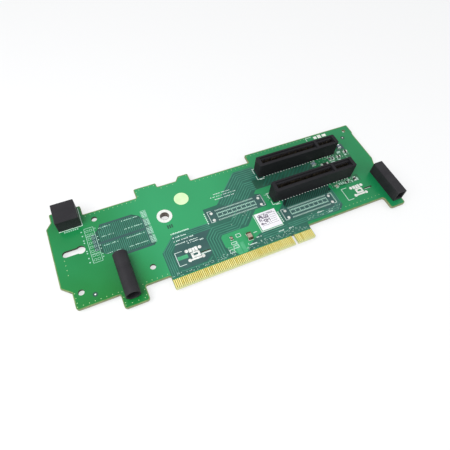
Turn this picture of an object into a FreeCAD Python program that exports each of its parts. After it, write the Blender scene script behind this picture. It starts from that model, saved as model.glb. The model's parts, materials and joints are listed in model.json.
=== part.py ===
import FreeCAD, Part
import math
import os

import Sketcher
from FreeCAD import Vector

# PCI Express riser card: a printed circuit board that stands in a x16 slot on its
# card edge and carries two x8 card slots, two guide sockets and a corner block.
#
# Frame, in millimetres: X runs along the card edge with 0 at its key notch, Y runs
# up from the card edge with 0 at the edge itself, and Z is square to the board with
# 0 at the middle of its thickness. The slots stand on the +Z side.

doc = FreeCAD.newDocument("pcie_riser_card")
sheet = doc.addObject("Spreadsheet::Sheet", "Sizes")

SIZES = {
    "Board": {
        "board_thickness": 1.57,
        "left_edge": 125.7,
        "lower_left_edge": 120.8,
        "right_edge": 78.5,
        "upper_right_edge": 79.3,
        "lower_right_edge": 76.6,
        "lower_edge": 8.25,
        "corner_radius": 1.6,
        "small_radius": 0.8,
    },
    "Shoulders of the left and right ends": {
        "left_cut_low": 18.2,
        "left_cut_high": 22.6,
        "left_shoulder_low": 60.0,
        "left_shoulder_high": 63.8,
        "left_shoulder_x": 122.6,
        "right_cut_low": 33.0,
        "right_cut_high": 38.0,
        "right_step_low": 61.0,
        "right_step_high": 63.5,
    },
    "Top edge": {
        "top_right_height": 70.2,
        "top_middle_height": 63.8,
        "top_left_height": 62.9,
        "top_notch_height": 66.4,
        "top_tab_height": 69.5,
        "middle_tab_left": 73.8,
        "middle_tab_right": 39.6,
        "top_notch_left": 60.1,
        "top_notch_right": 48.2,
        "top_notch_slope": 2.4,
        "corner_tab_right": 105.3,
    },
    "Feet": {
        "left_foot_left": 98.9,
        "left_foot_width": 13.1,
        "right_foot_left": 66.2,
    },
    "Card edge": {
        "contact_pitch": 1.0,
        "key_gap": 3.0,
        "short_side_contacts": 11,
        "long_side_contacts": 71,
        "edge_margin": 0.65,
        "key_width": 1.9,
        "key_depth": 7.7,
        "pad_width": 0.7,
        "pad_start": 0.55,
        "pad_end": 5.6,
        "pad_thickness": 0.06,
        "bevel_height": 0.45,
        "bevel_length": 0.5,
    },
    "Holes": {
        "fixing_radius": 1.62,
        "fixing_high_x": 100.0,
        "fixing_high_y": 57.7,
        "fixing_low_y": 16.9,
        "fixing_low_left_x": 116.6,
        "fixing_low_right_x": 79.0,
        "corner_hole_radius": 1.25,
        "corner_hole_x": 74.3,
        "corner_hole_y": 65.9,
        "tooling_radius": 0.65,
        "tooling_left_x": 110.4,
        "tooling_left_y": 13.2,
        "tooling_right_x": 70.0,
        "tooling_right_y": 60.7,
        "keyhole_radius": 2.5,
        "keyhole_slot_radius": 1.9,
        "keyhole_x": 111.3,
        "keyhole_y": 41.1,
        "keyhole_length": 7.8,
        "relief_radius": 0.5,
        "relief_length": 5.0,
        "left_relief_x": 51.9,
        "left_relief_y": 15.2,
        "right_relief_x": 58.8,
        "right_relief_y": 18.6,
    },
    "Card slots": {
        "slot_key_x": 41.7,
        "rear_slot_y": 53.6,
        "slot_spacing": 20.32,
        "slot_width": 7.5,
        "slot_height": 11.25,
        "slot_end_wall": 3.0,
        "slot_short_contacts": 11,
        "slot_long_contacts": 38,
        "slot_standoff": 0.5,
        "slot_chamfer": 0.6,
        "card_gap": 1.8,
        "card_depth": 8.4,
        "cavity_end_gap": 0.8,
        "key_web": 1.7,
        "rim_depth": 0.7,
        "comb_reach": 2.65,
        "groove_width": 0.66,
        "lead_in": 0.45,
        "foot_length": 1.8,
        "slot_peg_radius": 1.1,
        "slot_peg_inset": 1.5,
    },
    "Slot contacts": {
        "spring_thickness": 0.24,
        "spring_width": 0.44,
        "outer_tail": 3.2,
        "inner_tail": 1.3,
        "jog_height": 0.17,
        "jog_reach": 2.3,
        "bump_offset": 0.62,
        "bump_drop": 3.2,
        "tip_offset": 1.3,
        "tip_drop": 1.3,
        "tail_stick_out": 1.5,
        "tail_clearance": 0.04,
    },
    "Guide sockets": {
        "guide_mouth_y": 3.7,
        "guide_length": 25.0,
        "guide_depth": 22.0,
        "guide_peg_radius": 1.0,
        "guide_peg_inset": 5.5,
        "mouth_chamfer": 0.35,
        "tube_x": 92.95,
        "tube_radius": 3.9,
        "tube_bore_radius": 3.2,
        "saddle_width": 4.4,
        "saddle_height": 0.9,
        "bar_x": 73.1,
        "bar_width": 6.4,
        "bar_height": 8.0,
        "bar_wall": 0.85,
        "bar_rounding": 0.9,
    },
    "Corner block": {
        "block_x": 113.5,
        "block_width": 12.4,
        "block_length": 13.2,
        "block_height": 8.4,
        "block_setback": 0.1,
        "block_chamfer": 0.4,
        "block_peg_radius": 1.1,
        "block_peg_spread": 6.4,
    },
    "Mounting bushing": {
        "bushing_x": 62.85,
        "bushing_y": 44.8,
        "bushing_bore_radius": 2.55,
        "bushing_barrel_radius": 3.1,
        "flange_radius": 4.45,
        "flange_thickness": 0.25,
        "spacer_radius": 3.6,
        "spacer_length": 2.3,
    },
    "Stickers": {
        "sticker_x": 49.65,
        "sticker_y": 52.9,
        "sticker_radius": 4.35,
        "label_x": 8.0,
        "label_y": 20.6,
        "label_width": 13.2,
        "label_height": 11.6,
        "paper_thickness": 0.1,
    },
    "Fits": {
        "peg_clearance": 0.05,
        "peg_stick_out": 0.6,
        "terminal_wrap": 0.06,
    },
}

# Small soldered parts: place of the centre, length and width across the terminals,
# height, and the way the length runs. Places near the slots are measured from the
# line midway between the slots, and those below them from the front slot.
CHIPS = {
    "bulk_capacitor": ("board", -23.3, 14.2, 4.4, 2.5, 1.7, "Y"),
    "filter_capacitor": ("board", -33.3, 16.9, 2.0, 1.25, 0.8, "Y"),
    "rear_driver": ("between_slots", 57.6, 3.4, 2.4, 1.5, 0.8, "X"),
    "rear_regulator": ("between_slots", 64.2, 5.7, 2.6, 1.7, 0.8, "X"),
    "rear_coil": ("between_slots", 38.7, 3.9, 2.5, 2.3, 1.1, "Y"),
    "rear_resistor_pack": ("between_slots", 45.7, 1.4, 5.2, 1.5, 0.5, "X"),
    "rear_resistor_left": ("between_slots", 50.9, 3.7, 2.4, 1.1, 0.5, "Y"),
    "rear_resistor_right": ("between_slots", 53.2, 3.7, 2.4, 1.1, 0.5, "Y"),
    "corner_coil": ("between_slots", 62.4, 10.9, 2.8, 2.2, 1.1, "Y"),
    "front_driver": ("front_slot", 57.2, -6.0, 2.4, 1.5, 0.8, "Y"),
    "front_capacitor": ("front_slot", 43.2, -7.0, 2.0, 1.25, 0.8, "Y"),
    "front_resistor": ("front_slot", 51.0, -6.4, 2.2, 1.2, 0.5, "X"),
}
CHIP_SIZES = ("x", "y", "length", "width", "height")

# Places along Y that the parts are measured from.
CHIP_DATUMS = {
    "board": "0",
    "between_slots": "(Sizes.rear_slot_y - Sizes.slot_spacing / 2)",
    "front_slot": "(Sizes.rear_slot_y - Sizes.slot_spacing)",
}

BOARD_TOP = "Sizes.board_thickness / 2"
KEY_TO_CONTACT = "Sizes.key_gap / 2"
TAB_LEFT = f"-({KEY_TO_CONTACT} + (Sizes.long_side_contacts - 1) * Sizes.contact_pitch + Sizes.edge_margin)"
TAB_RIGHT = f"({KEY_TO_CONTACT} + (Sizes.short_side_contacts - 1) * Sizes.contact_pitch + Sizes.edge_margin)"
SLOT_LONG = f"({KEY_TO_CONTACT} + (Sizes.slot_long_contacts - 1) * Sizes.contact_pitch + Sizes.slot_end_wall)"
SLOT_SHORT = f"({KEY_TO_CONTACT} + (Sizes.slot_short_contacts - 1) * Sizes.contact_pitch + Sizes.slot_end_wall)"
SLOTS = {
    "rear": "Sizes.rear_slot_y",
    "front": "(Sizes.rear_slot_y - Sizes.slot_spacing)",
}
LEFT_FOOT_RIGHT = "(Sizes.left_foot_left - Sizes.left_foot_width)"
BLOCK_BACK = "(Sizes.top_tab_height - Sizes.block_setback)"


def fill_sheet():
    """Write every driving size into the sheet, one row each, with its alias."""
    row = 1
    for section, sizes in SIZES.items():
        sheet.set(f"A{row}", section)
        row += 1
        for alias, amount in sizes.items():
            sheet.set(f"A{row}", alias)
            sheet.set(f"B{row}", str(amount))
            sheet.setAlias(f"B{row}", alias)
            row += 1
    for name, (_, *amounts, _) in CHIPS.items():
        sheet.set(f"A{row}", name)
        row += 1
        for size, amount in zip(CHIP_SIZES, amounts):
            sheet.set(f"A{row}", size)
            sheet.set(f"B{row}", str(amount))
            sheet.setAlias(f"B{row}", f"{name}_{size}")
            row += 1
    doc.recompute()


def value(expression):
    """The number that an expression on the sheet stands for."""
    return float(sheet.evalExpression(expression))


# ---------------------------------------------------------------- sketch helpers


def new_body(name):
    body = doc.addObject("PartDesign::Body", name)
    body.Label = name
    return body


def place(item, x="0", y="0", z="0"):
    """Bind the place of an object to expressions."""
    for axis, expression in zip("xyz", (x, y, z)):
        item.setExpression(f"Placement.Base.{axis}", expression)


def new_sketch(body, name, role="XY_Plane", lift="0"):
    """A sketch on one of the body's own origin planes, lifted off it by an expression."""
    sketch = body.newObject("Sketcher::SketchObject", f"{body.Name}_{name}")
    plane = next(item for item in body.Origin.OriginFeatures if item.Role == role)
    sketch.AttachmentSupport = [(plane, "")]
    sketch.MapMode = "FlatFace"
    sketch.setExpression("AttachmentOffset.Base.z", lift)
    return sketch


def constrain(sketch, kind, geometry, point, expression):
    """Add one driving constraint and bind it to an expression."""
    place_of = (geometry, point) if point else (geometry,)
    index = sketch.addConstraint(Sketcher.Constraint(kind, *place_of, value(expression)))
    sketch.setExpression(f"Constraints[{index}]", expression)


def pin(sketch, geometry, point, x, y):
    constrain(sketch, "DistanceX", geometry, point, x)
    constrain(sketch, "DistanceY", geometry, point, y)


def polygon(sketch, corners):
    """A closed outline of straight runs through corners given as pairs of expressions."""
    points = [Vector(value(x), value(y), 0) for x, y in corners]
    lines = []
    for start, end in zip(points, points[1:] + points[:1]):
        lines.append(sketch.addGeometry(Part.LineSegment(start, end), False))
    for number, line in enumerate(lines):
        sketch.addConstraint(Sketcher.Constraint("Coincident", lines[number - 1], 2, line, 1))
        pin(sketch, line, 1, *corners[number])


def rectangle(sketch, x, y, width, height):
    """A rectangle about a centre."""
    left, right = f"({x}) - ({width}) / 2", f"({x}) + ({width}) / 2"
    low, high = f"({y}) - ({height}) / 2", f"({y}) + ({height}) / 2"
    polygon(sketch, [(left, low), (right, low), (right, high), (left, high)])


def circle(sketch, x, y, radius):
    shape = Part.Circle(Vector(value(x), value(y), 0), Vector(0, 0, 1), value(radius))
    geometry = sketch.addGeometry(shape, False)
    pin(sketch, geometry, 3, x, y)
    constrain(sketch, "Radius", geometry, 0, radius)


def slot_outline(sketch, x, y, length, radius):
    """A round-ended slot whose end centres lie at x and x + length."""
    left, level, run, reach = value(x), value(y), value(length), value(radius)
    centres = [Vector(left, level, 0), Vector(left + run, level, 0)]
    quarter = math.pi / 2
    arcs = []
    for centre, turn in zip(centres, (quarter, -quarter)):
        ring = Part.Circle(centre, Vector(0, 0, 1), reach)
        arcs.append(sketch.addGeometry(Part.ArcOfCircle(ring, turn, turn + math.pi), False))
    rise = Vector(0, reach, 0)
    low = sketch.addGeometry(Part.LineSegment(centres[0] - rise, centres[1] - rise), False)
    high = sketch.addGeometry(Part.LineSegment(centres[1] + rise, centres[0] + rise), False)
    joins = [(arcs[0], 2, low, 1), (low, 2, arcs[1], 1), (arcs[1], 2, high, 1), (high, 2, arcs[0], 1)]
    for join in joins:
        sketch.addConstraint(Sketcher.Constraint("Tangent", *join))
    for arc, centre in zip(arcs, (x, f"({x}) + ({length})")):
        pin(sketch, arc, 3, centre, y)
        constrain(sketch, "Radius", arc, 0, radius)


def pad(body, sketch, name, length, reverse=False, both_ways=False):
    feature = body.newObject("PartDesign::Pad", f"{body.Name}_{name}")
    feature.Profile = sketch
    feature.SideType = "Symmetric" if both_ways else "One side"
    feature.Reversed = reverse
    feature.setExpression("Length", length)
    return feature


def pocket(body, sketch, name, depth=None, reverse=False):
    """Cut a sketch to a depth, or right through both ways where no depth is given."""
    before = body.Shape.Volume
    feature = body.newObject("PartDesign::Pocket", f"{body.Name}_{name}")
    feature.Profile = sketch
    feature.Reversed = reverse
    feature.Refine = False
    if depth is None:
        feature.Type = "ThroughAll"
        feature.SideType = "Symmetric"
    else:
        feature.setExpression("Length", depth)
    doc.recompute()
    if not body.Shape.Volume < before:
        raise RuntimeError(f"{feature.Name} cuts nothing")
    return feature


def repeat(body, feature, name, copies, pitch, reverse=False):
    """Repeat a feature along X, with the number and pitch as expressions."""
    pattern = body.newObject("PartDesign::LinearPattern", f"{body.Name}_{name}")
    axis = next(item for item in body.Origin.OriginFeatures if item.Role == "X_Axis")
    pattern.Originals = [feature]
    pattern.Direction = (axis, [""])
    pattern.Mode = "Spacing"
    pattern.Reversed = reverse
    pattern.Refine = False
    pattern.setExpression("Offset", pitch)
    pattern.setExpression("Occurrences", copies)
    body.Tip = pattern
    doc.recompute()
    return pattern


def edges_where(shape, test):
    """Names of the straight edges whose two ends both pass a test."""
    names = []
    for number, edge in enumerate(shape.Edges, 1):
        ends = [vertex.Point for vertex in edge.Vertexes]
        if len(ends) == 2 and test(*ends):
            names.append(f"Edge{number}")
    return names


def upright_edges(shape, corners):
    """Names of the edges that stand along Z at given (x, y) corners."""
    def stands_at_corner(start, end):
        upright = math.hypot(start.x - end.x, start.y - end.y) < 1e-6
        return upright and any(math.hypot(start.x - x, start.y - y) < 1e-4 for x, y in corners)
    return edges_where(shape, stands_at_corner)


def round_edges(body, names, name, radius):
    base = body.Tip
    feature = body.newObject("PartDesign::Fillet", f"{body.Name}_{name}")
    feature.Base = (base, names)
    feature.setExpression("Radius", radius)
    doc.recompute()


def chamfer_edges(body, names, name, size):
    base = body.Tip
    feature = body.newObject("PartDesign::Chamfer", f"{body.Name}_{name}")
    feature.Base = (base, names)
    feature.setExpression("Size", size)
    doc.recompute()


# ---------------------------------------------------------------- circuit board


def board_corners():
    """The outline's corners, anticlockwise from the lower left, each with its rounding."""
    left, lower = "-Sizes.lower_left_edge", "Sizes.lower_edge"
    foot_left, foot_right = "-Sizes.left_foot_left", f"-{LEFT_FOOT_RIGHT}"
    tab_top = "Sizes.top_tab_height"
    large, small, sharp = "corner_radius", "small_radius", None
    return [
        (left, lower, large),
        (foot_left, lower, small),
        (foot_left, "0", large),
        (foot_right, "0", large),
        (foot_right, lower, small),
        (TAB_LEFT, lower, small),
        (TAB_LEFT, "0", small),
        (TAB_RIGHT, "0", small),
        (TAB_RIGHT, lower, small),
        ("Sizes.right_foot_left", lower, large),
        ("Sizes.right_foot_left", "0", large),
        ("Sizes.lower_right_edge", "0", large),
        ("Sizes.lower_right_edge", "Sizes.right_cut_low", sharp),
        ("Sizes.right_edge", "Sizes.right_cut_high", sharp),
        ("Sizes.right_edge", "Sizes.right_step_low", sharp),
        ("Sizes.upper_right_edge", "Sizes.right_step_high", sharp),
        ("Sizes.upper_right_edge", "Sizes.top_right_height", small),
        ("0", "Sizes.top_right_height", small),
        ("0", "Sizes.top_middle_height", small),
        ("-Sizes.middle_tab_right", "Sizes.top_middle_height", small),
        ("-Sizes.middle_tab_right", tab_top, small),
        ("-(Sizes.top_notch_right - Sizes.top_notch_slope)", tab_top, small),
        ("-Sizes.top_notch_right", "Sizes.top_notch_height", small),
        ("-Sizes.top_notch_left", "Sizes.top_notch_height", small),
        ("-Sizes.top_notch_left", tab_top, small),
        ("-Sizes.middle_tab_left", tab_top, small),
        ("-Sizes.middle_tab_left", "Sizes.top_left_height", small),
        ("-Sizes.corner_tab_right", "Sizes.top_left_height", small),
        ("-Sizes.corner_tab_right", tab_top, small),
        ("-Sizes.left_shoulder_x", tab_top, small),
        ("-Sizes.left_shoulder_x", "Sizes.left_shoulder_high", sharp),
        ("-Sizes.left_edge", "Sizes.left_shoulder_low", sharp),
        ("-Sizes.left_edge", "Sizes.left_cut_high", sharp),
        (left, "Sizes.left_cut_low", sharp),
    ]


def guide_peg_places():
    """Centres of the pegs under the guide sockets, as pairs of expressions."""
    mouth = "Sizes.guide_mouth_y"
    near = f"({mouth} + Sizes.guide_peg_inset)"
    far = f"({mouth} + Sizes.guide_length - Sizes.guide_peg_inset)"
    return [(x, y) for x in ("-Sizes.tube_x", "Sizes.bar_x") for y in (near, far)]


def block_peg_places():
    middle = f"({BLOCK_BACK} - Sizes.block_length / 2)"
    half = "Sizes.block_peg_spread / 2"
    return [(f"(-Sizes.block_x {sign} {half})", middle) for sign in "-+"]


def slot_peg_xs():
    """Pegs of a card slot along X, from its key: under the key and near the long end."""
    return ["0", f"(-{SLOT_LONG} + Sizes.slot_peg_inset)"]


def cut_circles(body, name, circles):
    """Cut round holes, each given as x, y and radius."""
    sketch = new_sketch(body, f"{name}_sketch")
    for x, y, radius in circles:
        circle(sketch, x, y, radius)
    pocket(body, sketch, name)


def drill_tails(body, name, first, copies, reverse, tail):
    """Square holes for one run of slot tails, on both sides of both slots."""
    sketch = new_sketch(body, f"{name}_sketch")
    width = "(Sizes.spring_width + 2 * Sizes.tail_clearance)"
    depth = "(Sizes.spring_thickness + 2 * Sizes.tail_clearance)"
    for slot_y in SLOTS.values():
        for sign in "-+":
            y = f"({slot_y} {sign} {tail})"
            rectangle(sketch, f"(Sizes.slot_key_x + {first})", y, width, depth)
    holes = pocket(body, sketch, name)
    repeat(body, holes, f"{name}_run", copies, "2 * Sizes.contact_pitch", reverse)


def circuit_board():
    body = new_body("circuit_board")
    corners = board_corners()
    outline = new_sketch(body, "outline")
    polygon(outline, [(x, y) for x, y, _ in corners])
    pad(body, outline, "laminate", "Sizes.board_thickness", both_ways=True)
    doc.recompute()

    for rounding in ("corner_radius", "small_radius"):
        spots = [(value(x), value(y)) for x, y, radius in corners if radius == rounding]
        names = upright_edges(body.Shape, spots)
        round_edges(body, names, rounding, f"Sizes.{rounding}")

    half, length, height = BOARD_TOP, "Sizes.bevel_length", "Sizes.bevel_height"
    for side, sign in (("front", ""), ("back", "-")):
        bevel = new_sketch(body, f"{side}_bevel_sketch", "YZ_Plane", TAB_LEFT)
        polygon(bevel, [
            (f"-{length}", f"{sign}({half} - 2 * {height})"),
            (length, f"{sign}({half})"),
            (f"-{length}", f"{sign}({half} + {height})"),
        ])
        pocket(body, bevel, f"{side}_bevel", f"{TAB_RIGHT} - {TAB_LEFT}", reverse=True)

    key = new_sketch(body, "key_sketch")
    key_centre = "(Sizes.key_depth - Sizes.key_width / 2)"
    circle(key, "0", key_centre, "Sizes.key_width / 2")
    pocket(body, key, "key_round")
    key_mouth = new_sketch(body, "key_mouth_sketch")
    rectangle(key_mouth, "0", f"({key_centre} - Sizes.key_depth) / 2", "Sizes.key_width",
              f"({key_centre} + Sizes.key_depth)")
    pocket(body, key_mouth, "key_mouth")

    cut_circles(body, "fixing_holes", [
        ("-Sizes.fixing_high_x", "Sizes.fixing_high_y", "Sizes.fixing_radius"),
        ("-Sizes.fixing_low_left_x", "Sizes.fixing_low_y", "Sizes.fixing_radius"),
        ("-Sizes.fixing_low_right_x", "Sizes.fixing_low_y", "Sizes.fixing_radius"),
        ("Sizes.corner_hole_x", "Sizes.corner_hole_y", "Sizes.corner_hole_radius"),
        ("-Sizes.tooling_left_x", "Sizes.tooling_left_y", "Sizes.tooling_radius"),
        ("Sizes.tooling_right_x", "Sizes.tooling_right_y", "Sizes.tooling_radius"),
        ("-Sizes.bushing_x", "Sizes.bushing_y", "Sizes.bushing_barrel_radius"),
        ("-Sizes.keyhole_x", "Sizes.keyhole_y", "Sizes.keyhole_radius"),
    ])
    guide_radius = "(Sizes.guide_peg_radius + Sizes.peg_clearance)"
    block_radius = "(Sizes.block_peg_radius + Sizes.peg_clearance)"
    slot_radius = "(Sizes.slot_peg_radius + Sizes.peg_clearance)"
    pegs = [(x, y, guide_radius) for x, y in guide_peg_places()]
    pegs += [(x, y, block_radius) for x, y in block_peg_places()]
    for slot_y in SLOTS.values():
        pegs += [(f"(Sizes.slot_key_x + {x})", slot_y, slot_radius) for x in slot_peg_xs()]
    cut_circles(body, "peg_holes", pegs)

    slots = new_sketch(body, "routed_slots_sketch")
    slot_outline(slots, "-(Sizes.keyhole_x + Sizes.keyhole_length)", "Sizes.keyhole_y",
                 "Sizes.keyhole_length", "Sizes.keyhole_slot_radius")
    slot_outline(slots, "-Sizes.left_relief_x", "Sizes.left_relief_y",
                 "Sizes.relief_length", "Sizes.relief_radius")
    slot_outline(slots, "Sizes.right_relief_x", "Sizes.right_relief_y",
                 "Sizes.relief_length", "Sizes.relief_radius")
    pocket(body, slots, "routed_slots")

    # Along each row every other contact has its tail near the housing wall and the
    # rest have theirs near the middle. Both sides of the key start at the wall.
    first, second = KEY_TO_CONTACT, f"({KEY_TO_CONTACT} + Sizes.contact_pitch)"
    outer, inner = "Sizes.outer_tail", "Sizes.inner_tail"
    long_run, short_run = "Sizes.slot_long_contacts", "Sizes.slot_short_contacts"
    drill_tails(body, "long_outer_tails", f"-{first}", f"ceil({long_run} / 2)", True, outer)
    drill_tails(body, "long_inner_tails", f"-{second}", f"floor({long_run} / 2)", True, inner)
    drill_tails(body, "short_outer_tails", first, f"ceil({short_run} / 2)", False, outer)
    drill_tails(body, "short_inner_tails", second, f"floor({short_run} / 2)", False, inner)
    return body


# ---------------------------------------------------------------- card edge pads


def contact_xs(long_count, short_count):
    """Centres of a run of contacts along X, from the key, with the key's gap left out."""
    pitch, start = value("Sizes.contact_pitch"), value(KEY_TO_CONTACT)
    long_side = [-start - number * pitch for number in range(int(long_count))]
    short_side = [start + number * pitch for number in range(int(short_count))]
    return long_side, short_side


def solids_node(name, solids):
    """A node that groups separate solids."""
    node = doc.addObject("Part::Feature", name)
    node.Label = name
    node.Shape = Part.makeCompound(solids)
    return node


def edge_contacts(name, front):
    """Gold plated contact pads along the card edge, on one side of the board."""
    long_side, short_side = contact_xs(value("Sizes.long_side_contacts"), value("Sizes.short_side_contacts"))
    width, thickness = value("Sizes.pad_width"), value("Sizes.pad_thickness")
    start, end = value("Sizes.pad_start"), value("Sizes.pad_end")
    face = value(BOARD_TOP)
    low = face if front else -face - thickness
    pads = []
    for x in long_side + short_side:
        corner = Vector(x - width / 2, start, low)
        pads.append(Part.makeBox(width, end - start, thickness, corner))
    return solids_node(name, pads)


# ---------------------------------------------------------------- card slots


def slot_housing(name, slot_y):
    """Moulded housing of a x8 card slot, with its key on the body's own Z axis."""
    body = new_body(name)
    long_end, short_end = f"-{SLOT_LONG}", SLOT_SHORT
    middle, length = f"({short_end} + {long_end}) / 2", f"({short_end} - ({long_end}))"
    width, height, standoff = "Sizes.slot_width", "Sizes.slot_height", "Sizes.slot_standoff"

    block = new_sketch(body, "block_sketch", lift=standoff)
    rectangle(block, middle, "0", length, width)
    pad(body, block, "block", f"{height} - {standoff}")
    doc.recompute()
    ends = [(value(x), side * value(width) / 2) for x in (long_end, short_end) for side in (-1, 1)]
    chamfer_edges(body, upright_edges(body.Shape, ends), "end_chamfers", "Sizes.slot_chamfer")

    feet = new_sketch(body, "feet_sketch", lift=standoff)
    inset = "(Sizes.slot_chamfer + Sizes.foot_length / 2)"
    for centre in (f"{long_end} + {inset}", f"{short_end} - {inset}"):
        rectangle(feet, centre, "0", "Sizes.foot_length", f"{width} - 2 * Sizes.slot_chamfer")
    pad(body, feet, "feet", standoff, reverse=True)

    pegs = new_sketch(body, "pegs_sketch", lift=standoff)
    for x in slot_peg_xs():
        circle(pegs, x, "0", "Sizes.slot_peg_radius")
    peg_length = f"{standoff} + Sizes.board_thickness + Sizes.peg_stick_out"
    pad(body, pegs, "pegs", peg_length, reverse=True)
    doc.recompute()

    # The card's cavity is in two lengths with the key's web between them, and a wider
    # and shallower recess over each leaves a rim round the two combs of grooves.
    web = "Sizes.key_web / 2"
    end_gap = "(Sizes.slot_end_wall - Sizes.cavity_end_gap)"
    lengths = [
        (f"({long_end} + {end_gap})", f"(-{web})"),
        (f"({web})", f"({short_end} - {end_gap})"),
    ]
    cuts = [
        ("rim", "2 * Sizes.comb_reach", "Sizes.rim_depth"),
        ("card_cavity", "Sizes.card_gap", "Sizes.card_depth"),
    ]
    for cut_name, cut_width, depth in cuts:
        sketch = new_sketch(body, f"{cut_name}_sketch", lift=height)
        for start, end in lengths:
            rectangle(sketch, f"({start} + {end}) / 2", "0", f"{end} - {start}", cut_width)
        pocket(body, sketch, cut_name, depth)

    half_gap, comb_top = value("Sizes.card_gap") / 2, value(f"{height} - Sizes.rim_depth")

    def is_lead_in(start, end):
        level = abs(start.z - comb_top) < 1e-6 and abs(end.z - comb_top) < 1e-6
        along = abs(abs(start.y) - half_gap) < 1e-6 and abs(start.y - end.y) < 1e-6
        return level and along

    chamfer_edges(body, edges_where(body.Shape, is_lead_in), "lead_in", "Sizes.lead_in")

    runs = [
        ("long_grooves", "-", "Sizes.slot_long_contacts", True),
        ("short_grooves", "", "Sizes.slot_short_contacts", False),
    ]
    inner_edge = "(Sizes.inner_tail - Sizes.spring_thickness * 2)"
    for run, sign, copies, reverse in runs:
        sketch = new_sketch(body, f"{run}_sketch")
        for side in ("", "-"):
            y = f"{side}(Sizes.comb_reach + {inner_edge}) / 2"
            rectangle(sketch, f"{sign}({KEY_TO_CONTACT})", y, "Sizes.groove_width",
                      f"(Sizes.comb_reach - {inner_edge})")
        groove = pocket(body, sketch, run)
        repeat(body, groove, f"{run}_run", copies, "Sizes.contact_pitch", reverse)
    place(body, "Sizes.slot_key_x", slot_y, BOARD_TOP)
    return body


def strip(nodes, thickness):
    """Outline of a bent strip with pointed ends, from its centre line in (y, z)."""
    sides = {1: [], -1: []}
    for before, node, after in zip(nodes, nodes[1:], nodes[2:]):
        into = (node - before).normalize()
        out = (after - node).normalize()
        bisector = (into + out).normalize()
        across = Vector(-bisector.y, bisector.x, 0)
        reach = thickness / 2 / max(bisector.dot(into), 0.5)
        for side, points in sides.items():
            points.append(node + across * (side * reach))
    return [nodes[0]] + sides[1] + [nodes[-1]] + sides[-1][::-1]


def contact_spring(x, side, outer):
    """One slot contact: a tail through the board and a bowed spring up to its tip."""
    top = value("Sizes.slot_height")
    tail_y = value("Sizes.outer_tail" if outer else "Sizes.inner_tail")
    foot_z = -value("Sizes.board_thickness + Sizes.tail_stick_out")
    jog_z = value("Sizes.jog_height")
    nodes = [Vector(tail_y, foot_z, 0), Vector(tail_y, jog_z, 0)]
    if outer:
        nodes.append(Vector(value("Sizes.jog_reach"), jog_z + value("Sizes.spring_thickness"), 0))
    nodes.append(Vector(value("Sizes.bump_offset"), top - value("Sizes.bump_drop"), 0))
    nodes.append(Vector(value("Sizes.tip_offset"), top - value("Sizes.tip_drop"), 0))
    outline = strip(nodes, value("Sizes.spring_thickness"))
    width = value("Sizes.spring_width")
    points = [Vector(x - width / 2, side * point.x, point.y) for point in outline]
    face = Part.Face(Part.makePolygon(points + points[:1]))
    return face.extrude(Vector(width, 0, 0))


def slot_contacts(name, slot_y, side):
    """The row of contacts on one side of a card slot; side is -1 near and +1 far."""
    runs = contact_xs(value("Sizes.slot_long_contacts"), value("Sizes.slot_short_contacts"))
    springs = []
    for run in runs:
        for number, x in enumerate(run):
            springs.append(contact_spring(x, side, outer=number % 2 == 0))
    node = solids_node(name, springs)
    place(node, "Sizes.slot_key_x", slot_y, BOARD_TOP)
    return node


# ---------------------------------------------------------------- guides and block


def add_pegs(body, places, radius):
    """Pegs from the underside of a moulding through the board."""
    sketch = new_sketch(body, "pegs_sketch")
    for x, y in places:
        circle(sketch, x, y, radius)
    pad(body, sketch, "pegs", "Sizes.board_thickness + Sizes.peg_stick_out", reverse=True)
    doc.recompute()


def guide_pegs(body):
    far = "(Sizes.guide_length - Sizes.guide_peg_inset)"
    add_pegs(body, [("0", "Sizes.guide_peg_inset"), ("0", far)], "Sizes.guide_peg_radius")


def round_guide_socket():
    """Round socket on the left foot; its mouth faces the card edge."""
    body = new_body("round_guide_socket")
    centre = "Sizes.tube_radius"
    tube = new_sketch(body, "tube_sketch", "XZ_Plane")
    circle(tube, "0", centre, "Sizes.tube_radius")
    pad(body, tube, "tube", "Sizes.guide_length", reverse=True)
    saddle = new_sketch(body, "saddle_sketch", "XZ_Plane")
    rectangle(saddle, "0", "Sizes.saddle_height / 2", "Sizes.saddle_width", "Sizes.saddle_height")
    pad(body, saddle, "saddle", "Sizes.guide_length", reverse=True)
    guide_pegs(body)
    bore = new_sketch(body, "bore_sketch", "XZ_Plane")
    circle(bore, "0", centre, "Sizes.tube_bore_radius")
    pocket(body, bore, "bore", "Sizes.guide_depth")
    rim = []
    for number, edge in enumerate(body.Shape.Edges, 1):
        in_mouth = abs(edge.BoundBox.YMax) < 1e-6 and len(edge.Vertexes) == 1
        if in_mouth and edge.BoundBox.XLength < value("2 * Sizes.tube_bore_radius + 0.01"):
            rim.append(f"Edge{number}")
    chamfer_edges(body, rim, "mouth", "Sizes.mouth_chamfer")
    place(body, "-Sizes.tube_x", "Sizes.guide_mouth_y", BOARD_TOP)
    return body


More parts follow.
